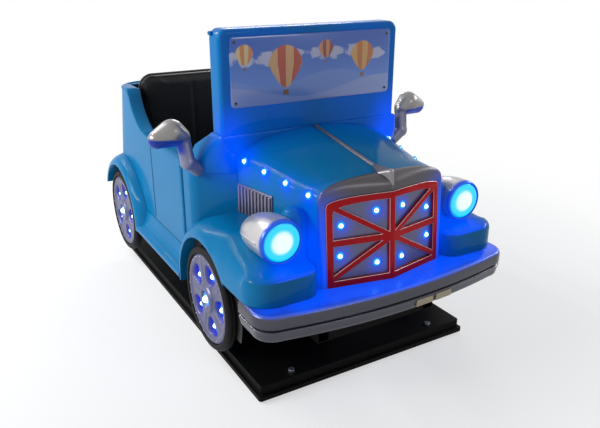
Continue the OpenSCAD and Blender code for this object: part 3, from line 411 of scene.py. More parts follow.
# repeats: one master shape set on points, each turned to its own direction
def repeat(name, master, places, scale=1.0):
    points = bpy.data.meshes.new(name)
    points.from_pydata([tuple(c * mm for c in p) for p, aim in places], [], [])
    aims = points.attributes.new("aim", "FLOAT_VECTOR", "POINT")
    aims.data.foreach_set("vector", [c for p, aim in places for c in aim])
    made = addObject(name, points)
    group = bpy.data.node_groups.new(name, "GeometryNodeTree")
    for title, kind in (("Geometry", "Geometry"), ("Source", "Object"), ("Size", "Float")):
        group.interface.new_socket(title, in_out="INPUT", socket_type="NodeSocket" + kind)
    group.interface.new_socket("Geometry", in_out="OUTPUT", socket_type="NodeSocketGeometry")
    start, end, info, direction, turn, place, real, look = [group.nodes.new(kind) for kind in (
        "NodeGroupInput", "NodeGroupOutput", "GeometryNodeObjectInfo", "GeometryNodeInputNamedAttribute",
        "FunctionNodeAlignRotationToVector", "GeometryNodeInstanceOnPoints", "GeometryNodeRealizeInstances",
        "GeometryNodeSetMaterial")]
    direction.data_type, turn.axis = "FLOAT_VECTOR", "Z"
    direction.inputs["Name"].default_value = "aim"
    look.inputs["Material"].default_value = master.data.materials[0]
    for source, output, target, into in (
            (start, "Source", info, "Object"), (start, "Geometry", place, "Points"),
            (info, "Geometry", place, "Instance"), (direction, "Attribute", turn, "Vector"),
            (turn, 0, place, "Rotation"), (start, "Size", place, "Scale"), (place, 0, real, 0),
            (real, 0, look, "Geometry"), (look, 0, end, 0)):
        group.links.new(source.outputs[output], target.inputs[into])
    added = made.modifiers.new("repeat", "NODES")
    added.node_group = group
    keys = {item.name: item.identifier for item in group.interface.items_tree if item.in_out == "INPUT"}
    added[keys["Source"]], added[keys["Size"]] = master, scale
    bake(made)
    bpy.data.objects.remove(master)
    return made


print("mesh tools ready")

# finishes
colours = {
    "blue": (0.002, 0.150, 0.345), "silver": (0.24, 0.225, 0.24), "vent": (0.20, 0.185, 0.25),
    "band": (0.085, 0.078, 0.085), "pod": (0.55, 0.53, 0.54), "bumper": (0.075, 0.074, 0.095),
    "red": (0.55, 0.006, 0.012), "button": (0.45, 0.02, 0.025), "panel": (0.12, 0.12, 0.20)}
# painted lamp glow on other finishes: place, reach and power, and a height where it ends
paintedGlowSpill = {
    "vent": [(262, -300, 540, 40, 0.25)],
    "band": [(207, -656, 440, 75, 0.95), (205, -658, 540, 55, 0.55), (205, -655, 360, 50, 0.6)],
    "pod": [(262, -600, 500, 40, 0.5), (300, -640, 440, 34, 0.35)],
    "panel": [(44, -690, 539, 26, 0.85), (146, -672, 509, 26, 0.85), (150, -674, 423, 26, 0.85),
        (42, -698, 390, 26, 0.85)],
    "bumper": [(110, -715, 340, 66, 1.1, 336), (205, -700, 340, 56, 1.1, 336), (300, -712, 340, 56, 1.0, 336),
        (390, -690, 340, 44, 0.8, 336), (20, -738, 340, 60, 1.0, 336)]}
redPaint, silverPaint = gelcoat("redPaint", colours["red"], None), metalPaint("silverPaint", colours["silver"])
# the vents, surround band, grille edges and grille panel get painted lamp glow
ventPaint = metalPaint("ventPaint", colours["vent"], paintedGlowSpill["vent"], 0.36, 0.5)
bandPaint = metalPaint("bandPaint", colours["band"], paintedGlowSpill["band"])
# a silver finish for the grille bars' edges, a painted highlight
barEdgeHighlight = metalPaint("barEdgeHighlight", colours["pod"], paintedGlowSpill["pod"])
grillePaint = metalPaint("grillePaint", colours["panel"], paintedGlowSpill["panel"])
blackPlastic = moulded("blackPlastic", (0.012, 0.012, 0.013), 0.42)
plateBeige = moulded("plateBeige", (0.42, 0.35, 0.23), 0.5)
ledCore = lampGlow("ledCore", (0.55, 0.90, 1.0), 2.4, (0.6, 0.9, 1.0))
# the ring round each lamp glows: a painted halo
ledHaloRing = lampGlow("ledHaloRing", (0.0, 0.27, 1.0), 1.1, (0.0, 0.04, 0.3))
litButton = lampGlow("litButton", (0.95, 0.42, 0.02), 0.55, (0.80, 0.42, 0.03))
mirrorGlass = Finish("mirrorGlass", metallic=1.0)
mirrorGlass.give(base_color=(0.82, 0.86, 0.9), roughness=0.02 + mirrorGlass.grain(30).smooth(0.55, 0.8) * 0.08)
screenGlass = Finish("screenGlass", coat_weight=1.0, coat_roughness=0.03)
screenGlass.give(base_color=screenGlass.blend(screenGlass.grain(4), (0.004, 0.004, 0.006), (0.012, 0.013, 0.018)),
                 roughness=0.08 + screenGlass.grain(40, 5) * 0.1)
slotFinish = {
    "blue_shell": gelcoat("bluePaint", colours["blue"]), "silver_trim": silverPaint, "red_trim": redPaint,
    # the bumper gets painted lamp glow and a painted lit tone on its top face
    "bumper_silver": metalPaint("bumperPaint", colours["bumper"], paintedGlowSpill["bumper"], 0.27, lit=(0.02, 0.06, 0.25)),
    "red_button": gelcoat("redButton", colours["button"], None), "lamp_glow": ledCore, "lamp_lens": ledCore,
    "mirror_glass": mirrorGlass.material, "picture_print": plateBeige, "screen_glass": screenGlass.material,
    "black_steel": blackSteel(), "bright_steel": bareSteel(), "black_plastic": blackPlastic, "seat_vinyl": vinyl(),
    "cast_grey": moulded("castGrey", (0.10, 0.105, 0.11), 0.55), "seat_box": blackPlastic, "tyre_black": rubber(),
    "nylon_roller": moulded("nylonRoller", (0.6, 0.58, 0.5), 0.45), "plate_beige": plateBeige,
    "rubber_foot": moulded("footRubber", (0.015, 0.015, 0.015), 0.7)}
slotOf = {part["node"]: part["material_slot"] for part in frame["record"]["subparts"]}
for node, obj in frame["nodes"].items():
    finish = litButton if node == "start_button_left" else slotFinish.get(slotOf.get(node), blackPlastic)
    for index in range(max(1, len(obj.material_slots))):
        if len(obj.material_slots) <= index:
            obj.data.materials.append(finish)
        obj.material_slots[index].link = "OBJECT"
        obj.material_slots[index].material = finish
print("finishes on", len(frame["nodes"]), "nodes")


# outlines shared by the shells, as the solids have them
bodyFoot, clearance = 337, 0.4
axles, axleZ = {"front": -342, "rear": 533}, 214
wheelSpots = [(side, axle) for side in (1, -1) for axle in axles.values()]


def mix(a, b, t):
    return a + (b - a) * t


def smoothstep(a, b, x):
    t = min(1.0, max(0.0, (x - a) / (b - a)))
    return t * t * (3 - 2 * t)


def arcOf(cx, cy, r, start, end, steps):
    turns = [radians(mix(start, end, i / steps)) for i in range(steps + 1)]
    return [(cx + r * cos(a), cy + r * sin(a)) for a in turns]


def arch(hw, top, crown, power=2.9):
    half = [(hw, mix(bodyFoot, top - crown, i / 6)) for i in range(6)]
    for a in parts(pi / 2, 36, 0, 37):
        rise = crown * sin(a) ** (2 / power)
        half.append((hw * max(0.0, cos(a)) ** (2 / power), top - crown + rise))
    return bothSides(half, True)


def boxTool(low, high):
    (x0, y0, z0), (x1, y1, z1) = low, high
    return solid("boxTool", [level([(x0, y0), (x1, y0), (x1, y1), (x0, y1)], z) for z in (z0, z1)])


tubShape = {"front": (272, -288), "shoulder": (385, -193), "corner": 110, "rear": ((150, 749.6), (723, 582))}


def tubTool():
    g, r, (frontX, frontY), (outX, outY) = clearance, tubShape["corner"], tubShape["front"], tubShape["shoulder"]
    rings = []
    for z, rear in tubShape["rear"]:
        half = [(frontX + g, frontY - g), (outX + g, outY - 0.6 * g)]
        rings.append(level(bothSides(half + arcOf(outX - r, rear - r, r + g, 0, 90, 16)), z))
    return solid("tubTool", rings)


def flip(obj):
    other = obj.data.copy()
    with editing(other) as work:
        bmesh.ops.scale(work, vec=(-1, 1, 1), verts=work.verts)
        bmesh.ops.reverse_faces(work, faces=work.faces)
    with editing(obj.data) as work:
        work.from_mesh(other)
    bpy.data.meshes.remove(other)
    return obj


# hood: one arched sheet from the windscreen to the radiator; y, half width, top and crown at each end
hoodShape = {
    "rear": (-285, 272, 687, 80), "front": (-640, 205, 630, 58), "wall": 6, "power": (2.1, 2.9), "squareFrom": 0.7,
    "cuts": (-0.05, 0.35, 0.7, 0.8, 0.9, 1.0, 1.06)}


def hoodSize(t):
    return [mix(a, b, t) for a, b in zip(hoodShape["rear"], hoodShape["front"])]


def hoodSection(t, grow=0.0):
    y, hw, top, crown = hoodSize(t)
    power = mix(*hoodShape["power"], smoothstep(hoodShape["squareFrom"], 1.0, t))
    return y, arch(hw + grow, top + grow, crown, power)


def hoodTool():
    rings = []
    for t in hoodShape["cuts"]:
        y, outline = hoodSection(t, clearance)
        edge = outline[0][0]
        rings.append(upright([(edge, 100)] + outline + [(-edge, 100)], y))
    return solid("hoodTool", rings)


def makeHood():
    rings = []
    for t in parts(1, 24, 0, 25):
        y, outline = hoodSection(t)
        rings.append(upright(outline, y))
    hood = build("hood", *loft(rings, False), outward=False)
    modify(hood, "SOLIDIFY", thickness=hoodShape["wall"] * mm, offset=-1)
    dress(bake(hood), "hoodShell", "blue_shell", "hood")


# radiator surround: rolls over from the hood to the grille, whose bowed face leans back
grilleShape = {
    "bow": 40, "depth": 26, "hw": 205, "lean": tan(radians(4)), "roll": -644, "edge": (209, 634, 58),
    "lip": (200, 598, 26), "mouth": (192, 590, 26)}


def grilleFace(x, z, depth=0.0):
    g = grilleShape
    return hoodShape["front"][0] - g["depth"] - g["bow"] * (1 - abs(x) / g["hw"]) + (z - bodyFoot) * g["lean"] - depth


def makeSurround():
    edge, lip, mouth = [arch(*grilleShape[key]) for key in ("edge", "lip", "mouth")]
    roll = grilleShape["roll"]
    rings = [upright(edge, hoodShape["front"][0]), upright(edge, roll)]
    for a in parts(pi / 2, 14, 1, 15):
        t = 1 - cos(a)
        rings.append([(mix(ax, bx, t), mix(roll, grilleFace(bx, bz, 1.0), sin(a)), mix(az, bz, t))
                      for (ax, az), (bx, bz) in zip(edge, lip)])
    rings.append([(mix(bx, cx, 0.7), grilleFace(bx, bz, 0.6), mix(bz, cz, 0.7))
                  for (bx, bz), (cx, cz) in zip(lip, mouth)])
    rings += [[(x, grilleFace(x, z, -sunk), z) for x, z in mouth] for sunk in (1.5, 12)]
    band = build("surround", *loft(rings, False), outward=False)
    dress(band, "radiatorBand", "silver_trim", "radiator_surround", look=bandPaint, angle=50)


# red bars with a thin bright silver edge, a painted highlight
def makeGrille():
    bars = merged("grille_frame")
    bars.data.materials.append(redPaint)
    bars.data.materials.append(barEdgeHighlight)
    bevel(bars, 1.2, 2, 30, material=1)
    dress(bars, "grilleBars", "red_trim", "grille_frame", look=(redPaint, barEdgeHighlight))
    frame["nodes"]["grille_panel"].material_slots[0].material = grillePaint


# fender domes on the axles' lines; crown and inner side of each
domeShape = {"out": 425, "lip": 198, "roll": 100, "front": (243, 228), "rear": (258, 305), "well": (192, 385.2, 440)}


def domeProfile(crown, inner, grow=0.0):
    out, lip = domeShape["out"] + grow, domeShape["lip"]
    line = [(0.0, out), (lip * 0.5, out)]
    for a in parts(pi / 2, 24, 0, 25):
        line.append((lip + grow + (crown - lip) * sin(a), out - domeShape["roll"] * (1 - cos(a))))
    return line + [(crown + grow, inner), (0.0, inner)]


def domeForm(name, crown, inner, axle, grow=0.0):
    return build(name, *lathe(domeProfile(crown, inner, grow), (0, axle, axleZ), "x", 144))


def wellTool(axle):
    r, inner, outer = domeShape["well"]
    return build("wellTool", *lathe([(0, inner), (r, inner), (r, outer), (0, outer)], (0, axle, axleZ), "x", 128))


# headlight pods: bullets that taper and droop to their tails
podShape = {
    "axis": (314, 0, 489), "r": 62, "front": -640, "rim": -610, "length": 170, "power": 2.4, "bend": (-606, 166, 26)}


def podTaper(t):
    return sqrt(max(0.0, 1 - t ** podShape["power"]))


def podTool():
    s, r, front = podShape, podShape["r"] + clearance, podShape["front"] - clearance
    line = [(0.0, front), (r, front), (r, s["rim"])]
    line += [(r * podTaper(t), s["rim"] + (s["length"] + clearance) * t) for t in parts(1, 20, 1, 21)]
    return build("podTool", *lathe(line, s["axis"], "y", 64))


# front fenders: arch, nose, headlight saddle and pillar flow together, then the openings are cut
noseShape = {
    "levels": ((300, 0), (400, 0), (410, 4), (415, 14)), "outer": (350, -617, 75), "inner": (267, -647, 45),
    "sides": (222, 425), "back": -440, "ridge": (-470, 449, 14), "ridgeEnds": (254, 374), "saddle": (411, 414),
    "saddleFront": (-470, -515, -560), "saddleR": 212, "voxel": 4,
    "pillar": {"r": 34, "foot": 380, "top": 522, "place": (245, -575, 0)},
    "soft": (((330, -590, 440), 95, 60), ((385, -545, 425), 92, 250), ((375, -455, 425), 70, 60)),
    "cuts": (((0, -900, -300), (600, -495.6, bodyFoot + clearance)), ((0, -496.6, -300), (600, 300, 196)))}


def nosePlan(g):
    (outX, outY, outR), (inX, inY, inR), (low, high) = [noseShape[key] for key in ("outer", "inner", "sides")]
    return (arcOf(outX, outY, outR - g, 0, -90, 12) + arcOf(inX, inY, inR - g, -90, -180, 10)
            + [(low + g, noseShape["back"]), (high - g, noseShape["back"])])


# rounds off a ridge round a point, leaving the rest as it is
def soften(obj, centre, reach, rounds):
    spot = Vector(centre) * mm
    with editing(obj.data) as work:
        soft = [v for v in work.verts if (v.co - spot).length < reach * mm]
        for step in range(rounds):
            bmesh.ops.smooth_vert(work, verts=soft, factor=0.5, use_axis_x=True, use_axis_y=True, use_axis_z=True)


def hullOf(name, points):
    mesh = bpy.data.meshes.new(name)
    with editing(mesh) as work:
        for p in points:
            work.verts.new([c * mm for c in p])
        hull = bmesh.ops.convex_hull(work, input=work.verts)
        inside = [v for v in hull["geom_interior"] if isinstance(v, bmesh.types.BMVert)]
        bmesh.ops.delete(work, geom=inside, context="VERTS")
    return mesh


def pillarForm():
    s = noseShape["pillar"]
    r, foot, top = s["r"], -s["foot"], -s["top"]
    line = [(0.01, foot), (r, foot), (r, top)]
    line += [(r * cos(a), top - r * sin(a)) for a in parts(pi / 2, 8, 1)] + [(0.01, top - r)]
    pillar = build("pillar", *lathe(line, (0, 0, 0), "y", 40))
    pillar.data.transform(Matrix.Translation(Vector(s["place"]) * mm) @ Matrix.Rotation(-pi / 2, 4, "X"))
    return pillar


def makeFrontFenders():
    s, axle, (crown, inner) = noseShape, axles["front"], domeShape["front"]
    ridgeY, ridgeZ, ridgeR = s["ridge"]
    points = [(x, y, z) for z, g in s["levels"] for x, y in nosePlan(g)]
    ridge = [(x, ridgeY + ridgeR * cos(a), ridgeZ + ridgeR * sin(a))
             for x in s["ridgeEnds"] for a in parts(2 * pi, 16, 0, 17)]
    saddle = ridge + [(s["saddle"][0], y, s["saddle"][1]) for y in s["saddleFront"]]
    for r, x in domeProfile(crown, inner)[2:-1:3]:
        if r > s["saddleR"]:
            saddle += [(x, axle - r * sin(a), axleZ + r * cos(a)) for a in map(radians, range(0, 34, 3))]
    nose, bridge, pillar = hullOf("nose", points + ridge), hullOf("bridge", saddle), pillarForm()
    dome = domeForm("frontDome", crown, inner, axle)
    with editing(dome.data) as work:
        for mesh in (nose, bridge, pillar.data):
            work.from_mesh(mesh)
    bpy.data.objects.remove(pillar)
    remesh(dome, s["voxel"], 6)
    for centre, reach, rounds in s["soft"]:
        soften(dome, centre, reach, rounds)
    carve(dome, wellTool(axle), *[boxTool(*box) for box in s["cuts"]], hoodTool(), tubTool(), podTool())
    dress(flip(dome), "frontFenders", "blue_shell", "front_fenders", angle=40)


# rear fenders: the crest lies lower than the tail and the front end
crestShape = {
    "fall": 18, "front": (162, 135), "tail": (18, 45),
    "cuts": (((0, -100, -300), (600, axles["rear"], 196)), ((0, axles["rear"] - 1, -300), (600, 1000, 290)),
        ((0, 771.5, -300), (600, 1000, 1000)))}


def makeRearFenders():
    axle, (crown, inner), lip = axles["rear"], domeShape["rear"], domeShape["lip"]
    dome = domeForm("rearDome", crown, inner, axle)
    for v in dome.data.vertices:
        dy, dz = v.co.y / mm - axle, v.co.z / mm - axleZ
        r, turn = hypot(dy, dz), degrees(atan2(dz, dy))
        fall = crestShape["fall"] * smoothstep(*crestShape["tail"], turn) * smoothstep(*crestShape["front"], turn)
        keep = 1 - fall * max(0.0, r - lip) / (crown - lip) / max(r, 1)
        v.co.y, v.co.z = (axle + dy * keep) * mm, (axleZ + dz * keep) * mm
    carve(dome, wellTool(axle), *[boxTool(*box) for box in crestShape["cuts"]], tubTool())
    dress(flip(dome), "rearFenders", "blue_shell", "rear_fenders", angle=40)


# black sheets in the wheel arches: painted shade that darkens them
shadeSheetShape = {
    "profile": [(60.5, 385.4), (190, 385.4), (191.6, 386.4), (60.5, 386.4)],
    "cut": ((-600, -600, 0), (600, 800, 146))}


def makeShadeSheets():
    group = joined(*[lathe(shadeSheetShape["profile"], (0, axle, axleZ), "x", 96, True) for axle in axles.values()])
    shadeSheet = pair("liners", group)
    carve(shadeSheet, boxTool(*shadeSheetShape["cut"]))
    dress(shadeSheet, "archLiners", "black_plastic")


boardShape = {
    "ends": (-134, 325), "inner": 200,
    "profile": [(385.4, 216), (400, 205), (415, 197), (421, 197), (425, 201), (425, 214), (423, 218), (419, 221),
        (416, 225), (413, 225.5), (410, 228), (407, 232), (404, 233), (401.5, 238), (399.5, 244), (397, 247),
        (394.5, 256), (391, 268), (387.5, 280), (385.4, 289)]}


def makeBoards():
    rings = [upright(boardShape["profile"], mix(*boardShape["ends"], t)) for t in parts(1, 12, 0, 13)]
    board = solid("board", rings)
    carve(board, *[domeForm("domeTool", domeShape[end][0], boardShape["inner"], axle, clearance)
                   for end, axle in axles.items()])
    dress(flip(board), "runningBoards", "blue_shell", "running_boards", angle=50)


# bumper: bowed face with a rolled top edge, a crease and an inset lower half; inset and height of each level
bumperShape = {
    "front": -772, "back": -600, "hw": 427, "corner": 62, "bow": 36,
    "levels": [(20, 331.5), (18, 263), (12.5, 260.4), (9.5, 260.6), (7.4, 263), (5.6, 270), (3.6, 280), (1.4, 287.6),
        (0.4, 289.6), (0.4, 291.2), (2.0, 292.6), (6.4, 293.8), (8.4, 295), (8.4, 296.8), (6.0, 298), (2.4, 299),
        (0.8, 300.6), (0.2, 303), (0, 306), (0, 312), (0, 324), (0.8, 329), (2.4, 332.4), (4.8, 335), (8, 336.5),
        (12, 337)]}


def bumperPlan(g):
    front, back, hw, corner, bow = [bumperShape[key] for key in ("front", "back", "hw", "corner", "bow")]
    chord, cornerY = hw - corner, front + bow + corner
    bowR = (chord ** 2 + bow ** 2) / (2 * bow)
    turn = degrees(asin(chord / bowR)) * 0.97
    sides = [(hw - g, mix(cornerY, back, i / 4)) for i in range(1, 4)] + [(hw - g, back)]
    return ([(-x, y) for x, y in sides[::-1]] + arcOf(-chord, cornerY, corner - g, 180, 265, 10)
            + arcOf(0, front + bowR, bowR - g, -90 - turn, -90 + turn, 44)
            + arcOf(chord, cornerY, corner - g, 275, 360, 10) + sides)


def makeBumper():
    bumper = solid("bumper", [level(bumperPlan(g), z) for g, z in bumperShape["levels"]])
    dress(bumper, "frontBumper", "bumper_silver", "front_bumper", angle=30)


makeHood()
makeSurround()
makeGrille()
makeFrontFenders()
makeRearFenders()
makeShadeSheets()
makeBoards()
makeBumper()
print("main shells built")


def sweep(path, radius, steps=14):
    points = [Vector(p) for p in path]
    rings, side = [], None
    for i, p in enumerate(points):
        ahead = (points[min(i + 1, len(points) - 1)] - points[max(i - 1, 0)]).normalized()
        side = ahead.cross(Vector((0, 0, 1))) if side is None else side - ahead * side.dot(ahead)
        side.normalize()
        up = side.cross(ahead)
        rings.append([tuple(p + side * (radius * cos(a)) + up * (radius * sin(a)))
                      for a in parts(2 * pi, steps)])
    return loft(rings, True, True, True)


def roundRect(w, h, r, middle):
    x, y = w / 2 - r, h / 2 - r
    corners = [(x, y, 0), (-x, y, 90), (-x, -y, 180), (x, -y, 270)]
    return [(px, middle + py) for cx, cy, a in corners for px, py in arcOf(cx, cy, r, a, a + 90, 8)]


# windscreen housing with rolled edges, and its rear lip; inset and y of each section
screenShape = {
    "hw": 312, "foot": 690, "top": 990, "corner": 28, "lip": (634, 12, 5, 976),
    "path": ((6, -222), (6, -215.6), (4.6, -215), (1.4, -215), (0, -216.6), (0, -262), (0.5, -268), (2, -273),
        (4.6, -276.8), (8, -279.2), (12, -280)),
    "lipPath": ((3, -233), (1, -232.4), (0, -230.5), (0, -217.5), (1, -215.6), (3, -215))}


def screenOutline(g):
    s = screenShape
    cx, cz = s["hw"] - s["corner"], s["top"] - s["corner"]
    half = [(s["hw"] - g, mix(s["foot"], cz, i / 8)) for i in range(8)] + arcOf(cx, cz, s["corner"] - g, 0, 90, 10)
    return bothSides(half)


def insetRect(w, h, r, middle, g):
    return roundRect(w - 2 * g, h - 2 * g, r - g, middle)


def makeScreen():
    rings = [upright(screenOutline(g), y) for g, y in screenShape["path"]]
    lip = [upright(insetRect(*screenShape["lip"], g), y) for g, y in screenShape["lipPath"]]
    screen = build("screen", *joined(loft(rings, True, False, True), loft(lip, True, True, True)))
    dress(screen, "windscreenShell", "blue_shell", "windscreen_housing", angle=40)


# cowl: fills in between the tub's shoulders, the hood and the windscreen
cowlShape = {
    "plan": [(272, -287), (385, -193), (385, -150)], "levels": (540, 575), "voxel": 5,
    "cut": ((-600, -600, 400), (600, 600, 575.2)),
    "upper": ((350, 645, (-215, -150)), (322, 637, (-283, -212)), (318, 690, (-285, -210)))}


def makeCowl():
    points = [(x, y, z) for z in cowlShape["levels"] for x, y in bothSides(cowlShape["plan"])]
    for x, z, ends in cowlShape["upper"]:
        points += [(side * x, y, z) for side in (1, -1) for y in ends]
    cowl = remesh(addObject("cowl", hullOf("cowl", points)), cowlShape["voxel"], 14)
    carve(cowl, boxTool(*cowlShape["cut"]), hoodTool())
    dress(cowl, "cowlShell", "blue_shell", "cowl", angle=40)


def makeTub():
    tub = merged("body_tub")
    outX, outY = [c * mm for c in tubShape["shoulder"]]
    with editing(tub.data) as work:
        corner = [e for e in work.edges
                  if all(abs(abs(v.co.x) - outX) < 0.5 * mm and abs(v.co.y - outY) < 0.5 * mm for v in e.verts)]
        bmesh.ops.bevel(work, geom=corner, offset=22 * mm, segments=6, profile=0.5, affect="EDGES", clamp_overlap=True)
    dress(tub, "tubShell", "blue_shell", "body_tub", angle=30)


# rims: a round bead along the tub's edge, a broad turned-in band on its sides and a post at each door
rimShape = {
    "x": 382, "r": 5.5, "sill": 585, "curve": (225, 205), "rise": 138, "top": 721, "flat": (424, 440, 455, 470),
    "front": [(-150, 575), (-139, 575.4), (-129, 579.6), (-119, 584.4), (-110, 585)],
    "corner": (275, 472, 107), "back": 579}
bandShape = {
    "from": -118, "tail": (480, 500, 520, 535), "inner": 336, "wide": 50,
    "section": [(386.4, -6), (386.8, 0), (385.4, 3.4), (381, 5.4), (372, 5.6), (358, 5.0), (346, 4.4), (340.4, 3.0),
        (337.2, -0.6), (336.6, -5), (338, -8.5), (350, -8.6), (372, -8.6)]}
postShape = {
    "x": 386.2,
    "levels": ((300, 2.4), (310, 0), (430, 0), (556, 0), (566, 2.4)),
    "section": ((-2, -119), (0.6, -117.5), (2.4, -114), (3, -111), (2.4, -108), (0.6, -104.5), (-2, -103))}


def rimLine():
    s, (y, r) = rimShape, rimShape["curve"]
    line = s["front"] + [(mix(-100, y, t), s["sill"]) for t in parts(1, 12, 0, 13)]
    for a in parts(acos(1 - s["rise"] / r), 12, 1):
        line.append((y + r * sin(a), s["sill"] + r - r * cos(a)))
    return line + [(flat, s["top"]) for flat in s["flat"]]


def makeRims():
    cx, cy, r = rimShape["corner"]
    half = [(rimShape["x"], y, z) for y, z in rimLine()] + level(arcOf(cx, cy, r, 6, 90, 12), rimShape["top"])
    half += [(mix(cx, 0, i / 6), rimShape["back"], rimShape["top"]) for i in range(1, 7)]
    rim = build("rim", *sweep(bothSides(half, True), rimShape["r"]))
    dress(rim, "tubRim", "blue_shell", angle=60)
    post = [[(postShape["x"] + out - inset, y, z) for out, y in postShape["section"]]
            for z, inset in postShape["levels"]]
    dress(pair("post", loft(post, True, True, True)), "doorPosts", "blue_shell", angle=60)
    line = [(y, z) for y, z in rimLine() if y > bandShape["from"]] + [(y, rimShape["top"]) for y in bandShape["tail"]]
    rings, turnR = [], tubShape["corner"]
    for i, (y, z) in enumerate(line):
        (ya, za), (yb, zb) = line[max(0, i - 1)], line[min(len(line) - 1, i + 1)]
        size = hypot(yb - ya, zb - za)
        ny, nz = -(zb - za) / size, (yb - ya) / size
        turnIn = (turnR - sqrt(turnR ** 2 - max(0.0, y - cy) ** 2)) / bandShape["wide"]
        rings.append([(x - turnIn * (x - bandShape["inner"]), y + ny * n, z + nz * n) for x, n in bandShape["section"]])
    broad = pair("broadRim", loft(rings, True, True, True))
    dress(broad, "tubBroadRim", "blue_shell", angle=50)


# wheels: a dished cover with five petals round a raised hub, in a stepped tyre
wheelShape = {
    "petals": 5, "petalR": 87, "petal": 32, "power": 2.4, "deep": 14.0, "face": 412, "hub": 419.4, "hole": 4,
    "r": 141, "back": 390, "rows": 62, "steps": 240, "studs": 24, "studR": 131, "studX": 415,
    "tyre": [(141, 388), (158, 388), (161.5, 390), (163, 394), (163, 398), (162, 399.5), (163, 401), (163, 407),
        (161.4, 411), (158.6, 414.2), (155, 416.2), (152.6, 416.2), (151.6, 415.2), (150.4, 416.6), (146, 417.6),
        (143.4, 417.4), (141.8, 416), (141, 413)]}


def wheelFinish():
    cover = Finish("wheelCover", specular_IOR_level=0.2)
    mask = cover.add("Attribute", {"attribute_name": "petal"}, output="Fac")
    flake, cloud = cover.grain(900, 1), cover.grain(8, 4)
    silver = cover.blend(cloud, (0.085, 0.083, 0.14), (0.15, 0.145, 0.21))
    # the petal recesses are dark blue with a painted blue glow, and the rest of the cover has a faint painted blue glow
    cover.give(base_color=cover.blend(mask, silver, (0.0, 0.002, 0.05)), metallic=0.6 - mask * 0.6,
               roughness=0.30 + cloud * 0.12, normal=cover.bump(flake, 0.04, 0.0004),
               emission_color=cover.blend(mask, (0.0, 0.004, 0.04), (0.0, 0.016, 0.55)), emission_strength=1.0)
    return cover.material


# height of the cover's face, and how far a place lies inside a petal
def coverHeight(r, angle):
    s, share = wheelShape, 2 * pi / wheelShape["petals"]
    near = (angle + pi / 2 + share / 2) % share - share / 2
    along, wide = r * cos(near) - s["petalR"], r * sin(near)
    spread = s["petal"] + along * 0.36
    reach = (abs(along / s["petal"]) ** s["power"] + abs(wide / spread) ** s["power"]) ** (1 / s["power"])
    petal = 1 - smoothstep(0.84, 1.04, reach)
    lift = s["face"] + 2.6 * smoothstep(119, 125, r) - 5.0 * smoothstep(136, 141, r)
    lift += (s["hub"] - s["face"]) * (1 - smoothstep(40, 50, r)) - 9.0 * (1 - smoothstep(24, 28, r))
    rib = exp(-((share / 2 - abs(near)) * r / 7) ** 2) * smoothstep(46, 60, r) * (1 - smoothstep(108, 120, r))
    return lift + 2.0 * rib - s["deep"] * petal, petal


def makeCovers():
    s, values = wheelShape, []
    rings = []
    for t in parts(1, s["rows"], 0, s["rows"] + 1):
        r = mix(s["hole"], s["r"], t)
        rings.append([])
        for a in parts(2 * pi, s["steps"]):
            x, petal = coverHeight(r, a)
            rings[-1].append((x, r * sin(a), r * cos(a)))
            values.append(petal)
    rings.append([(s["back"], s["r"] * sin(a), s["r"] * cos(a)) for a in parts(2 * pi, s["steps"])])
    values += [0.0] * s["steps"]
    verts, faces = loft(rings)
    faces.append(tuple(range(s["steps"])))
    covers = joined(*[([(side * x, axle + y, axleZ + z) for x, y, z in verts],
                       [f if side < 0 else f[::-1] for f in faces]) for side, axle in wheelSpots])
    mesh = bpy.data.meshes.new("cover")
    mesh.from_pydata([tuple(c * mm for c in p) for p in covers[0]], [], covers[1])
    mesh.attributes.new("petal", "FLOAT", "POINT").data.foreach_set("value", values * len(wheelSpots))
    dress(addObject("wheelCovers", mesh), "wheelCovers", "silver_trim", "wheel_discs", look=wheelFinish(), angle=50)


# a small turned shape that stands along z, to be repeated
def turned(name, profile, finish, steps):
    shape = build(name, *lathe(profile, (0, 0, 0), "y", steps))
    shape.data.transform(Matrix.Rotation(pi / 2, 4, "X"))
    shape.data.materials.append(finish)
    return shape


def makeWheels():
    makeCovers()
    tyres = joined(*[lathe(wheelShape["tyre"], (0, axle, axleZ), "x", 144, True) for axle in axles.values()])
    dress(pair("tyres", tyres), "tyreRings", "tyre_black", "tyres", angle=40)
    stud = turned("stud", [(0.01, 2.4), (1.6, 2.2), (2.8, 1.2), (3.2, 0)], silverPaint, 12)
    r = wheelShape["studR"]
    places = [((side * wheelShape["studX"], axle + r * sin(a), axleZ + r * cos(a)), (side, 0, 0))
              for side, axle in wheelSpots for a in parts(2 * pi, wheelShape["studs"])]
    dress(repeat("studs", stud, places), "wheelStuds", "silver_trim")


# lamps: a clear dome in a ring, whose blue glow is a painted halo of the lamp
lampShape = {
    "core": [(0.01, 9.0)] + [(6.6 * sin(a), 9.0 * cos(a)) for a in parts(pi / 2, 8, 1, 9)],
    "ring": [(6.6, 0), (7.0, 2.2), (8.4, 3.0), (10.6, 2.2), (12, 0)],
    "onHood": (0.105, 0.365, 0.625, 0.885),
    "onGrille": ((0.23, 0.80), (0.76, 0.68), (0.78, 0.34), (0.22, 0.21)),
    "grilleSize": (192, 253), "petalX": 397.2, "hubX": 410.2}


def bodyLampPlaces():
    places, (wide, tall) = [], lampShape["grilleSize"]
    for side in (1, -1):
        for t in lampShape["onHood"]:
            y, hw, top, crown = hoodSize(t)
            places.append(((side * (hw - 2.2), y, top - crown * 0.8), (side, -0.18, 0.42)))
        for across, up in lampShape["onGrille"]:
            x, z = across * wide, bodyFoot + up * tall
            places.append(((side * x, grilleFace(x, z, -8), z), (side * 0.2, -1, 0.07)))
    return places


def makeLampSet(name, places, coreSize, ringSize, *nodes):
    for kind, finish, size, stands in (("Core", ledCore, coreSize, nodes), ("Ring", ledHaloRing, ringSize, ())):
        shape = turned(kind, lampShape[kind.lower()], finish, 24)
        shade(shape.data, 50)
        made = repeat(name + kind, shape, places, size)
        dress(made, name + kind + "s", "lamp_glow", *stands, look=finish, angle=60)


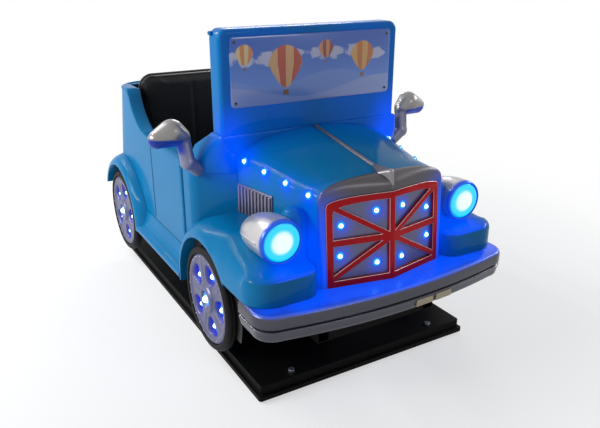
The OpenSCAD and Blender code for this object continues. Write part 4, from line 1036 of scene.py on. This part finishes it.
def makeLamps():
    r = wheelShape["petalR"]
    petals = [((side * lampShape["petalX"], axle - r * cos(a), axleZ + r * sin(a)), (side, 0, 0))
              for side, axle in wheelSpots for a in parts(2 * pi, wheelShape["petals"])]
    hubs = [((side * lampShape["hubX"], axle, axleZ), (side, 0, 0)) for side, axle in wheelSpots]
    makeLampSet("bodyLamp", bodyLampPlaces(), 1.0, 1.0, "body_lamps")
    makeLampSet("wheelLamp", petals, 1.3, 1.4, "wheel_lamps")
    makeLampSet("hubLamp", hubs, 1.9, 2.0)


# headlights: pods with a side fin, a domed lens and a bright core
headlightShape = {
    "rim": [(48, -626), (54.4, -631), (55.4, -637), (56.4, -640), (58, -640.6), (60, -639), (61.6, -634.5),
        (62.4, -628), (62.4, -618), (62, -606)],
    "fin": ((-3, 5), (1.6, 2.4), (2.6, 0), (1.6, -2.4), (-3, -5)),
    "finEnd": 0.86, "core": (27, 14, -641),
    "lens": [(31, -640.8), (36.5, -639.6), (42, -641.6), (48, -641.4), (52, -639.6), (54.2, -636.4), (54.8, -631)]}


def lensFinish():
    lens = Finish("lensGlow", roughness=0.12, coat_weight=0.2)
    x, y, z = lens.axes()
    cx, cy, cz = [c * mm for c in podShape["axis"]]
    away = ((x.abs() - cx) ** 2 + (z - cz) ** 2).sqrt()
    flutes = (away * 1500).sin() * 0.5 + 0.5
    tint = lens.blend(flutes * 0.5, (0.0, 0.56, 0.96), (0.01, 0.80, 1.0))
    tint = lens.blend(away.smooth(0.049, 0.0545), tint, (0.0, 0.16, 0.66))
    tint = lens.blend(away.smooth(0.038, 0.022), tint, (0.80, 1.0, 1.0))
    lens.give(base_color=lens.blend(flutes, (0.0, 0.05, 0.12), (0.0, 0.08, 0.16)), emission_color=tint,
              emission_strength=1.05, normal=lens.bump(flutes, 0.12, 0.0008))
    return lens.material


def podFinish():
    pod = Finish("podPaint", metallic=0.7)
    x, y, z = pod.axes()
    flake, cloud = pod.grain(900, 1), pod.grain(9, 4)
    # the pod's front rim and underside are painted deep blue with a painted blue glow, as lit by the lamps
    rim = y.smooth(-0.622, -0.634)
    lower = pod.near([(286, -600, 440, 46, 0.55), (262, -560, 470, 34, 0.35)])
    tone = pod.blend(flake * 0.4 + cloud * 0.6, (0.46, 0.44, 0.45), (0.62, 0.60, 0.61))
    tone = pod.blend(lower.min(1), pod.blend(rim, tone, (0.03, 0.07, 0.30)), (0.02, 0.05, 0.25))
    pod.give(base_color=tone, roughness=0.24 + cloud * 0.12, normal=pod.bump(flake, 0.04, 0.0004),
             emission_color=pod.blend((rim * 0.55 + lower * 0.5).min(1), dark, (0.0, 0.07, 0.75)),
             emission_strength=0.9)
    return pod.material


# lets a pod droop towards its tail
def droop(obj):
    start, length, fall = podShape["bend"]
    for v in obj.data.vertices:
        v.co.z -= fall * max(0.0, (v.co.y / mm - start) / length) ** 1.5 * mm
    return obj


def makeHeadlights():
    s, p, silver = headlightShape, podShape, podFinish()
    (cx, cy, cz), (start, length, fall), r = p["axis"], p["bend"], p["r"]
    shell = s["rim"] + [(r * podTaper(t), start + length * t) for t in parts(1, 24, 1, 25)]
    pods = pair("pods", lathe(shell, p["axis"], "y", 72))
    dress(droop(pods), "headlightPods", "silver_trim", "headlight_pods", look=silver, angle=40)
    fins = [[(cx + r * podTaper(t) + out, p["rim"] + p["length"] * t, cz + up) for out, up in s["fin"]]
            for t in parts(s["finEnd"], 10, 0, 11)]
    fin = pair("fins", loft(fins, True, True, True))
    dress(droop(fin), "podFins", "silver_trim", look=silver, angle=50)
    coreR, rise, face = s["core"]
    glass = [(coreR * sin(a + 0.0005), face - rise * cos(a + 0.0005)) for a in parts(pi / 2, 12, 0, 13)]
    lenses = pair("lenses", lathe(glass + s["lens"], p["axis"], "y", 72))
    dress(lenses, "headlightLenses", "lamp_lens", "headlight_lenses", "headlight_bulbs", look=lensFinish(), angle=60)


# mirrors: below a slanted ridge the shells are set back, and painted a dark blue shade with a painted blue glow
mirrorShape = {"ridge": (0.682, 0.39, 0.06), "setBack": 0.0035, "voxel": 3}


def mirrorRidge(x):
    height, middle, slope = mirrorShape["ridge"]
    return height + (x - middle) * slope


def mirrorFinish():
    paint = Finish("mirrorPaint", specular_IOR_level=0.2)
    x, y, z = paint.axes()
    flake, cloud = paint.grain(900, 1), paint.grain(7, 4)
    outer = (x.abs() - 0.40).smooth(0.0, 0.022) * z.smooth(0.63, 0.65)
    # below the ridge: painted blue shade and a painted blue glow
    under = (z - mirrorRidge(x.abs())).smooth(0.003, -0.003) * (y + 0.19).smooth(0.003, -0.006) * (0.25 + outer * 0.75)
    tone = paint.blend(flake * 0.4 + cloud * 0.6, (0.24, 0.225, 0.225), (0.32, 0.305, 0.30))
    paintedUnderTone = paint.blend(cloud, (0.004, 0.02, 0.20), (0.02, 0.05, 0.30))
    paint.give(base_color=paint.blend(under, tone, paintedUnderTone), metallic=0.6 - under * 0.6, roughness=0.24 + cloud * 0.12,
               normal=paint.bump(flake, 0.04, 0.0004, paint.rounded(0.003)),
               emission_color=paint.blend(under * cloud.smooth(0.2, 0.9), dark, (0.0, 0.05, 0.55)),
               emission_strength=0.7)
    return paint.material


def makeMirrors():
    shells = remesh(merged("mirror_shells"), mirrorShape["voxel"], 5)
    for v in shells.data.vertices:
        under = smoothstep(0.0015, -0.0025, v.co.z - mirrorRidge(abs(v.co.x))) * smoothstep(-0.196, -0.204, v.co.y)
        v.co.y += under * mirrorShape["setBack"]
    dress(shells, "mirrorShells", "silver_trim", "mirror_shells", look=mirrorFinish(), angle=60)


def makeTrim():
    trim = remesh(merged("hood_trim"), 1.5, 6)
    dress(trim, "hoodCrest", "silver_trim", "hood_trim", angle=60)
    louvres = bevel(merged("side_louvres"), 2.4, 4, 30)
    dress(louvres, "hoodLouvres", "silver_trim", "side_louvres", look=ventPaint)


# picture: a plain landscape of hills, clouds and balloons; each balloon's place, radius and two colours
pictureShape = {
    "size": (562, 200, 14, 868),
    "path": ((0, -280.2), (0, -282.6), (0.5, -283.5), (1.4, -284)),
    "screws": (267, -284, 86),
    "screw": [(0.01, 1.0), (1.0, 1.0), (1.3, 2.0), (3.0, 1.8), (4.0, 1.0), (4.2, 0)],
    "balloons": ((0.62, 0.26, 0.42, (0.50, 0.14, 0.03), (0.60, 0.33, 0.10)),
        (-0.36, 0.14, 0.56, (0.42, 0.045, 0.02), (0.58, 0.32, 0.14)),
        (-0.84, 0.50, 0.28, (0.55, 0.20, 0.05), (0.62, 0.46, 0.26)),
        (0.14, 0.52, 0.26, (0.22, 0.03, 0.05), (0.55, 0.22, 0.07)))}


def pictureFinish():
    art = Finish("picturePrint", coat_weight=0.5, coat_roughness=0.06, roughness=0.3)
    x, y, z = art.axes()
    u, v = x / 0.281, (z - 0.868) / 0.1
    sky = art.blend(v.smooth(-0.8, 1.0), (0.10, 0.24, 0.66), (0.012, 0.09, 0.44))
    puffs = art.add("TexNoise", None, {"Vector": art.point, "Scale": 22.0, "Detail": 3})
    land = art.blend((puffs * (v - 0.35).bell(0.4)).smooth(0.42, 0.52), sky, (0.42, 0.44, 0.62))
    far = (v - ((u * 4.2 + 0.6).sin() * 0.18 - 0.30)).smooth(0.03, -0.03)
    close = (v - ((u * 3.1 - 1.2).sin() * 0.22 - 0.62)).smooth(0.03, -0.03)
    land = art.blend(close, art.blend(far, land, (0.13, 0.24, 0.60)), (0.24, 0.31, 0.62))
    for cx, cz, r, warm, pale in pictureShape["balloons"]:
        du, dv = (u - cx) * 2.81, v - cz
        pinch = 1 + (dv * -1 / r).max(0) * 0.45
        away = ((du * pinch) ** 2 + (dv * (1 - (dv * -1).max(0) * 0.25)) ** 2).sqrt()
        stripe = (du * pinch / r * 6.5).sin().smooth(-0.1, 0.1)
        land = art.blend(away.smooth(r + 0.02, r - 0.02), land, art.blend(stripe, warm, pale))
        basket = (du.abs() - 0.16 * r).max((v - (cz - 1.45 * r)).abs() - 0.14 * r).smooth(0.01, -0.01)
        land = art.blend(basket, land, (0.20, 0.09, 0.03))
    art.give(base_color=land, normal=art.bump(art.grain(300), 0.02, 0.0004))
    return art.material


def makePicture():
    size, (across, face, up) = pictureShape["size"], pictureShape["screws"]
    panel = solid("picture", [upright(insetRect(*size, g), y) for g, y in pictureShape["path"]])
    dress(panel, "picturePanel", "picture_print", "picture_panel", look=pictureFinish())
    screw = turned("screw", pictureShape["screw"], blackPlastic, 20)
    places = [((sx * across, face, size[3] + sz * up), (0, -1, 0)) for sx in (1, -1) for sz in (1, -1)]
    dress(repeat("screws", screw, places), "pictureScrews", "black_plastic", "picture_screws")


makeScreen()
makeCowl()
makeTub()
makeRims()
print("body and windscreen built")
makeWheels()
makeLamps()
makeHeadlights()
makeMirrors()
makeTrim()
makePicture()
print("wheels, lamps and trim built")


# seat: padded by a short cloth run, then sewn and piped
padShape = {
    "voxel": 6, "pressure": 4.0, "frames": 20, "cap": 0.009, "seams": (-0.1, 0.1), "seam": 0.006,
    "rounding": ((9, 0.0), (3, 0.1), (0, 0.3), (0, 0.7), (3, 0.9), (9, 1.0)),
    "lowZ": 0.3454}
seatShape = {
    "cushion": {"box": ((-317, 158, 349), (317, 472, 394), 34, "z"), "room": (-1, 0.4785, 0.4045),
        "inward": (0, 0, -1), "piping": ((632, 312, 34, 315), 386)},
    "back": {"box": ((-317, 487, 352), (317, 529, 763), 52, "y"), "room": (0.4770, 0.5352, 0.776),
        "inward": (0, 1, 0), "piping": ((632, 408, 52, 557), 494)},
    "pipingR": 4.2}


def puff(obj):
    remesh(obj, padShape["voxel"], 4)
    start = [v.co.copy() for v in obj.data.vertices]
    cloth = obj.modifiers.new("cloth", "CLOTH")
    soft = cloth.settings
    soft.quality, soft.mass = 4, 0.3
    soft.tension_stiffness = soft.compression_stiffness = 12
    soft.shear_stiffness, soft.bending_stiffness = 5, 0.6
    soft.use_pressure, soft.uniform_pressure_force = True, padShape["pressure"]
    soft.effector_weights.gravity = 0
    cloth.collision_settings.use_collision = False
    cloth.point_cache.frame_start, cloth.point_cache.frame_end = 1, padShape["frames"]
    for step in range(1, padShape["frames"] + 1):
        scene.frame_set(step)
    bake(obj)
    scene.frame_set(1)
    for v, old in zip(obj.data.vertices, start):
        move = v.co - old
        if move.length > padShape["cap"]:
            v.co = old + move.normalized() * padShape["cap"]
    return obj


# keeps the pad inside its room and pulls the seams in on the side that is sat on
def sew(obj, lowY, highY, highZ, inward, weight):
    for v in obj.data.vertices:
        v.co.y, v.co.z = min(max(v.co.y, lowY), highY), min(max(v.co.z, padShape["lowZ"]), highZ)
        pull = sum(exp(-((v.co.x - seam) / padShape["seam"]) ** 2) for seam in padShape["seams"])
        v.co = v.co + Vector(inward) * (pull * padShape["seam"] * weight(v.co))


def share(value, full):
    return max(0.0, min(1.0, value / full))


def padBox(name, low, high, corner, axis):
    mid = [(a + b) / 2 for a, b in zip(low, high)]
    size = [b - a for a, b in zip(low, high)]
    rings = []
    for g, t in padShape["rounding"]:
        if axis == "z":
            rings.append(level(roundRect(size[0] - 2 * g, size[1] - 2 * g, corner, mid[1]), mix(low[2], high[2], t)))
        else:
            rings.append(upright(roundRect(size[0] - 2 * g, size[2] - 2 * g, corner, mid[2]), mix(low[1], high[1], t)))
    return solid(name, rings)


def makePad(key, name, node, weight):
    s = seatShape[key]
    pad = puff(padBox(key, *s["box"]))
    sew(pad, *s["room"], s["inward"], weight)
    modify(pad, "SUBSURF", levels=1, render_levels=1)
    dress(bake(pad), name, "seat_vinyl", node, angle=80)


def makeSeat():
    makePad("cushion", "seatCushion", "seat_cushion", lambda p: share(p.z - 0.38, 0.012))
    makePad("back", "seatBack", "seat_back", lambda p: share(0.492 - p.y, 0.012) * smoothstep(0.735, 0.70, p.z))
    (low, lowZ), (high, highY) = seatShape["cushion"]["piping"], seatShape["back"]["piping"]
    loops = [level(roundRect(*low), lowZ), upright(roundRect(*high), highY)]
    piping = build("piping", *joined(*[sweep(loop + loop[:2], seatShape["pipingR"], 10) for loop in loops]))
    dress(piping, "seatPiping", "seat_vinyl", look=blackPlastic, angle=70)


makeSeat()
print("seat padded")


brightRays = ("Is Camera Ray", "Is Glossy Ray", "Is Transmission Ray")
lights = {
    "keyHigh": ((-3.3, 0.4, 2.25), (2.2, 0.12), 54), "keyLow": ((-3.5, 0.5, 1.75), (2.2, 0.12), 54),
    "tubeNear": ((-1.35, 2.6, 2.7), (4.2, 0.03), 32), "tubeFar": ((-1.75, 2.6, 2.5), (4.2, 0.03), 32),
    "fill": ((0.9, -3.6, 2.2), (1.0, 0.4), 12), "rim": ((1.9, 3.2, 2.3), (1.4, 0.3), 36),
    "side": ((3.3, -0.5, 1.9), (2.0, 0.4), 42)}


# the floor looks white to the camera and fades into the background
def makeFloor():
    mesh = bpy.data.meshes.new("floor")
    mesh.from_pydata([(-14, -14, 0), (14, -14, 0), (14, 14, 0), (-14, 14, 0)], [], [(0, 1, 2, 3)])
    floor = addObject("floor", mesh)
    look = Finish("floorWhite", base_color=(0.9, 0.9, 0.9), roughness=0.7)
    path, glow, blend = [look.tree.nodes.new("ShaderNode" + kind) for kind in ("LightPath", "Emission", "MixShader")]
    camera, glossy, through = [Wire(look, path.outputs[ray]) for ray in brightRays]
    x, y, z = look.axes()
    away = (x * x + y * y).sqrt().smooth(1.0, 2.4)
    look.join(camera.max(glossy).max(through) * (0.55 + away * 0.45), blend.inputs[0])
    for source, target in ((look.surface, blend.inputs[1]), (glow, blend.inputs[2]), (blend, look.out.inputs[0])):
        look.tree.links.new(source.outputs[0], target)
    mesh.materials.append(look.material)


# a soft sky lights the part, and the camera and mirrors see plain white
def makeWorld():
    scene.world = bpy.data.worlds.new("studio")
    scene.world.use_nodes = True
    tree = scene.world.node_tree
    tree.nodes.clear()
    make, link = tree.nodes.new, tree.links.new
    out, blend, path = make("ShaderNodeOutputWorld"), make("ShaderNodeMixShader"), make("ShaderNodeLightPath")
    for place, colour, strength in ((1, (0.80, 0.89, 1, 1), 0.21), (2, (1, 1, 1, 1), 1.0)):
        sky = make("ShaderNodeBackground")
        sky.inputs[0].default_value, sky.inputs[1].default_value = colour, strength
        link(sky.outputs[0], blend.inputs[place])
    seen = path.outputs[brightRays[0]]
    for ray in brightRays[1:]:
        either = make("ShaderNodeMath")
        either.operation = "MAXIMUM"
        link(seen, either.inputs[0])
        link(path.outputs[ray], either.inputs[1])
        seen = either.outputs[0]
    link(seen, blend.inputs[0])
    link(blend.outputs[0], out.inputs[0])


def placeLights():
    for name, (place, size, power) in lights.items():
        data = bpy.data.lights.new(name, "AREA")
        data.shape, data.size, data.size_y, data.energy = "RECTANGLE", size[0], size[1], power
        lamp = addObject(name, data)
        lamp.location = place
        lamp.rotation_euler = (Vector((0, 0, 0.4)) - Vector(place)).to_track_quat("-Z", "Y").to_euler()
        if name.startswith("tube"):
            lamp.rotation_euler = (-0.6, 0, pi / 2)  # the long tubes run along the car


makeFloor()
makeWorld()
placeLights()
print("stage ready")
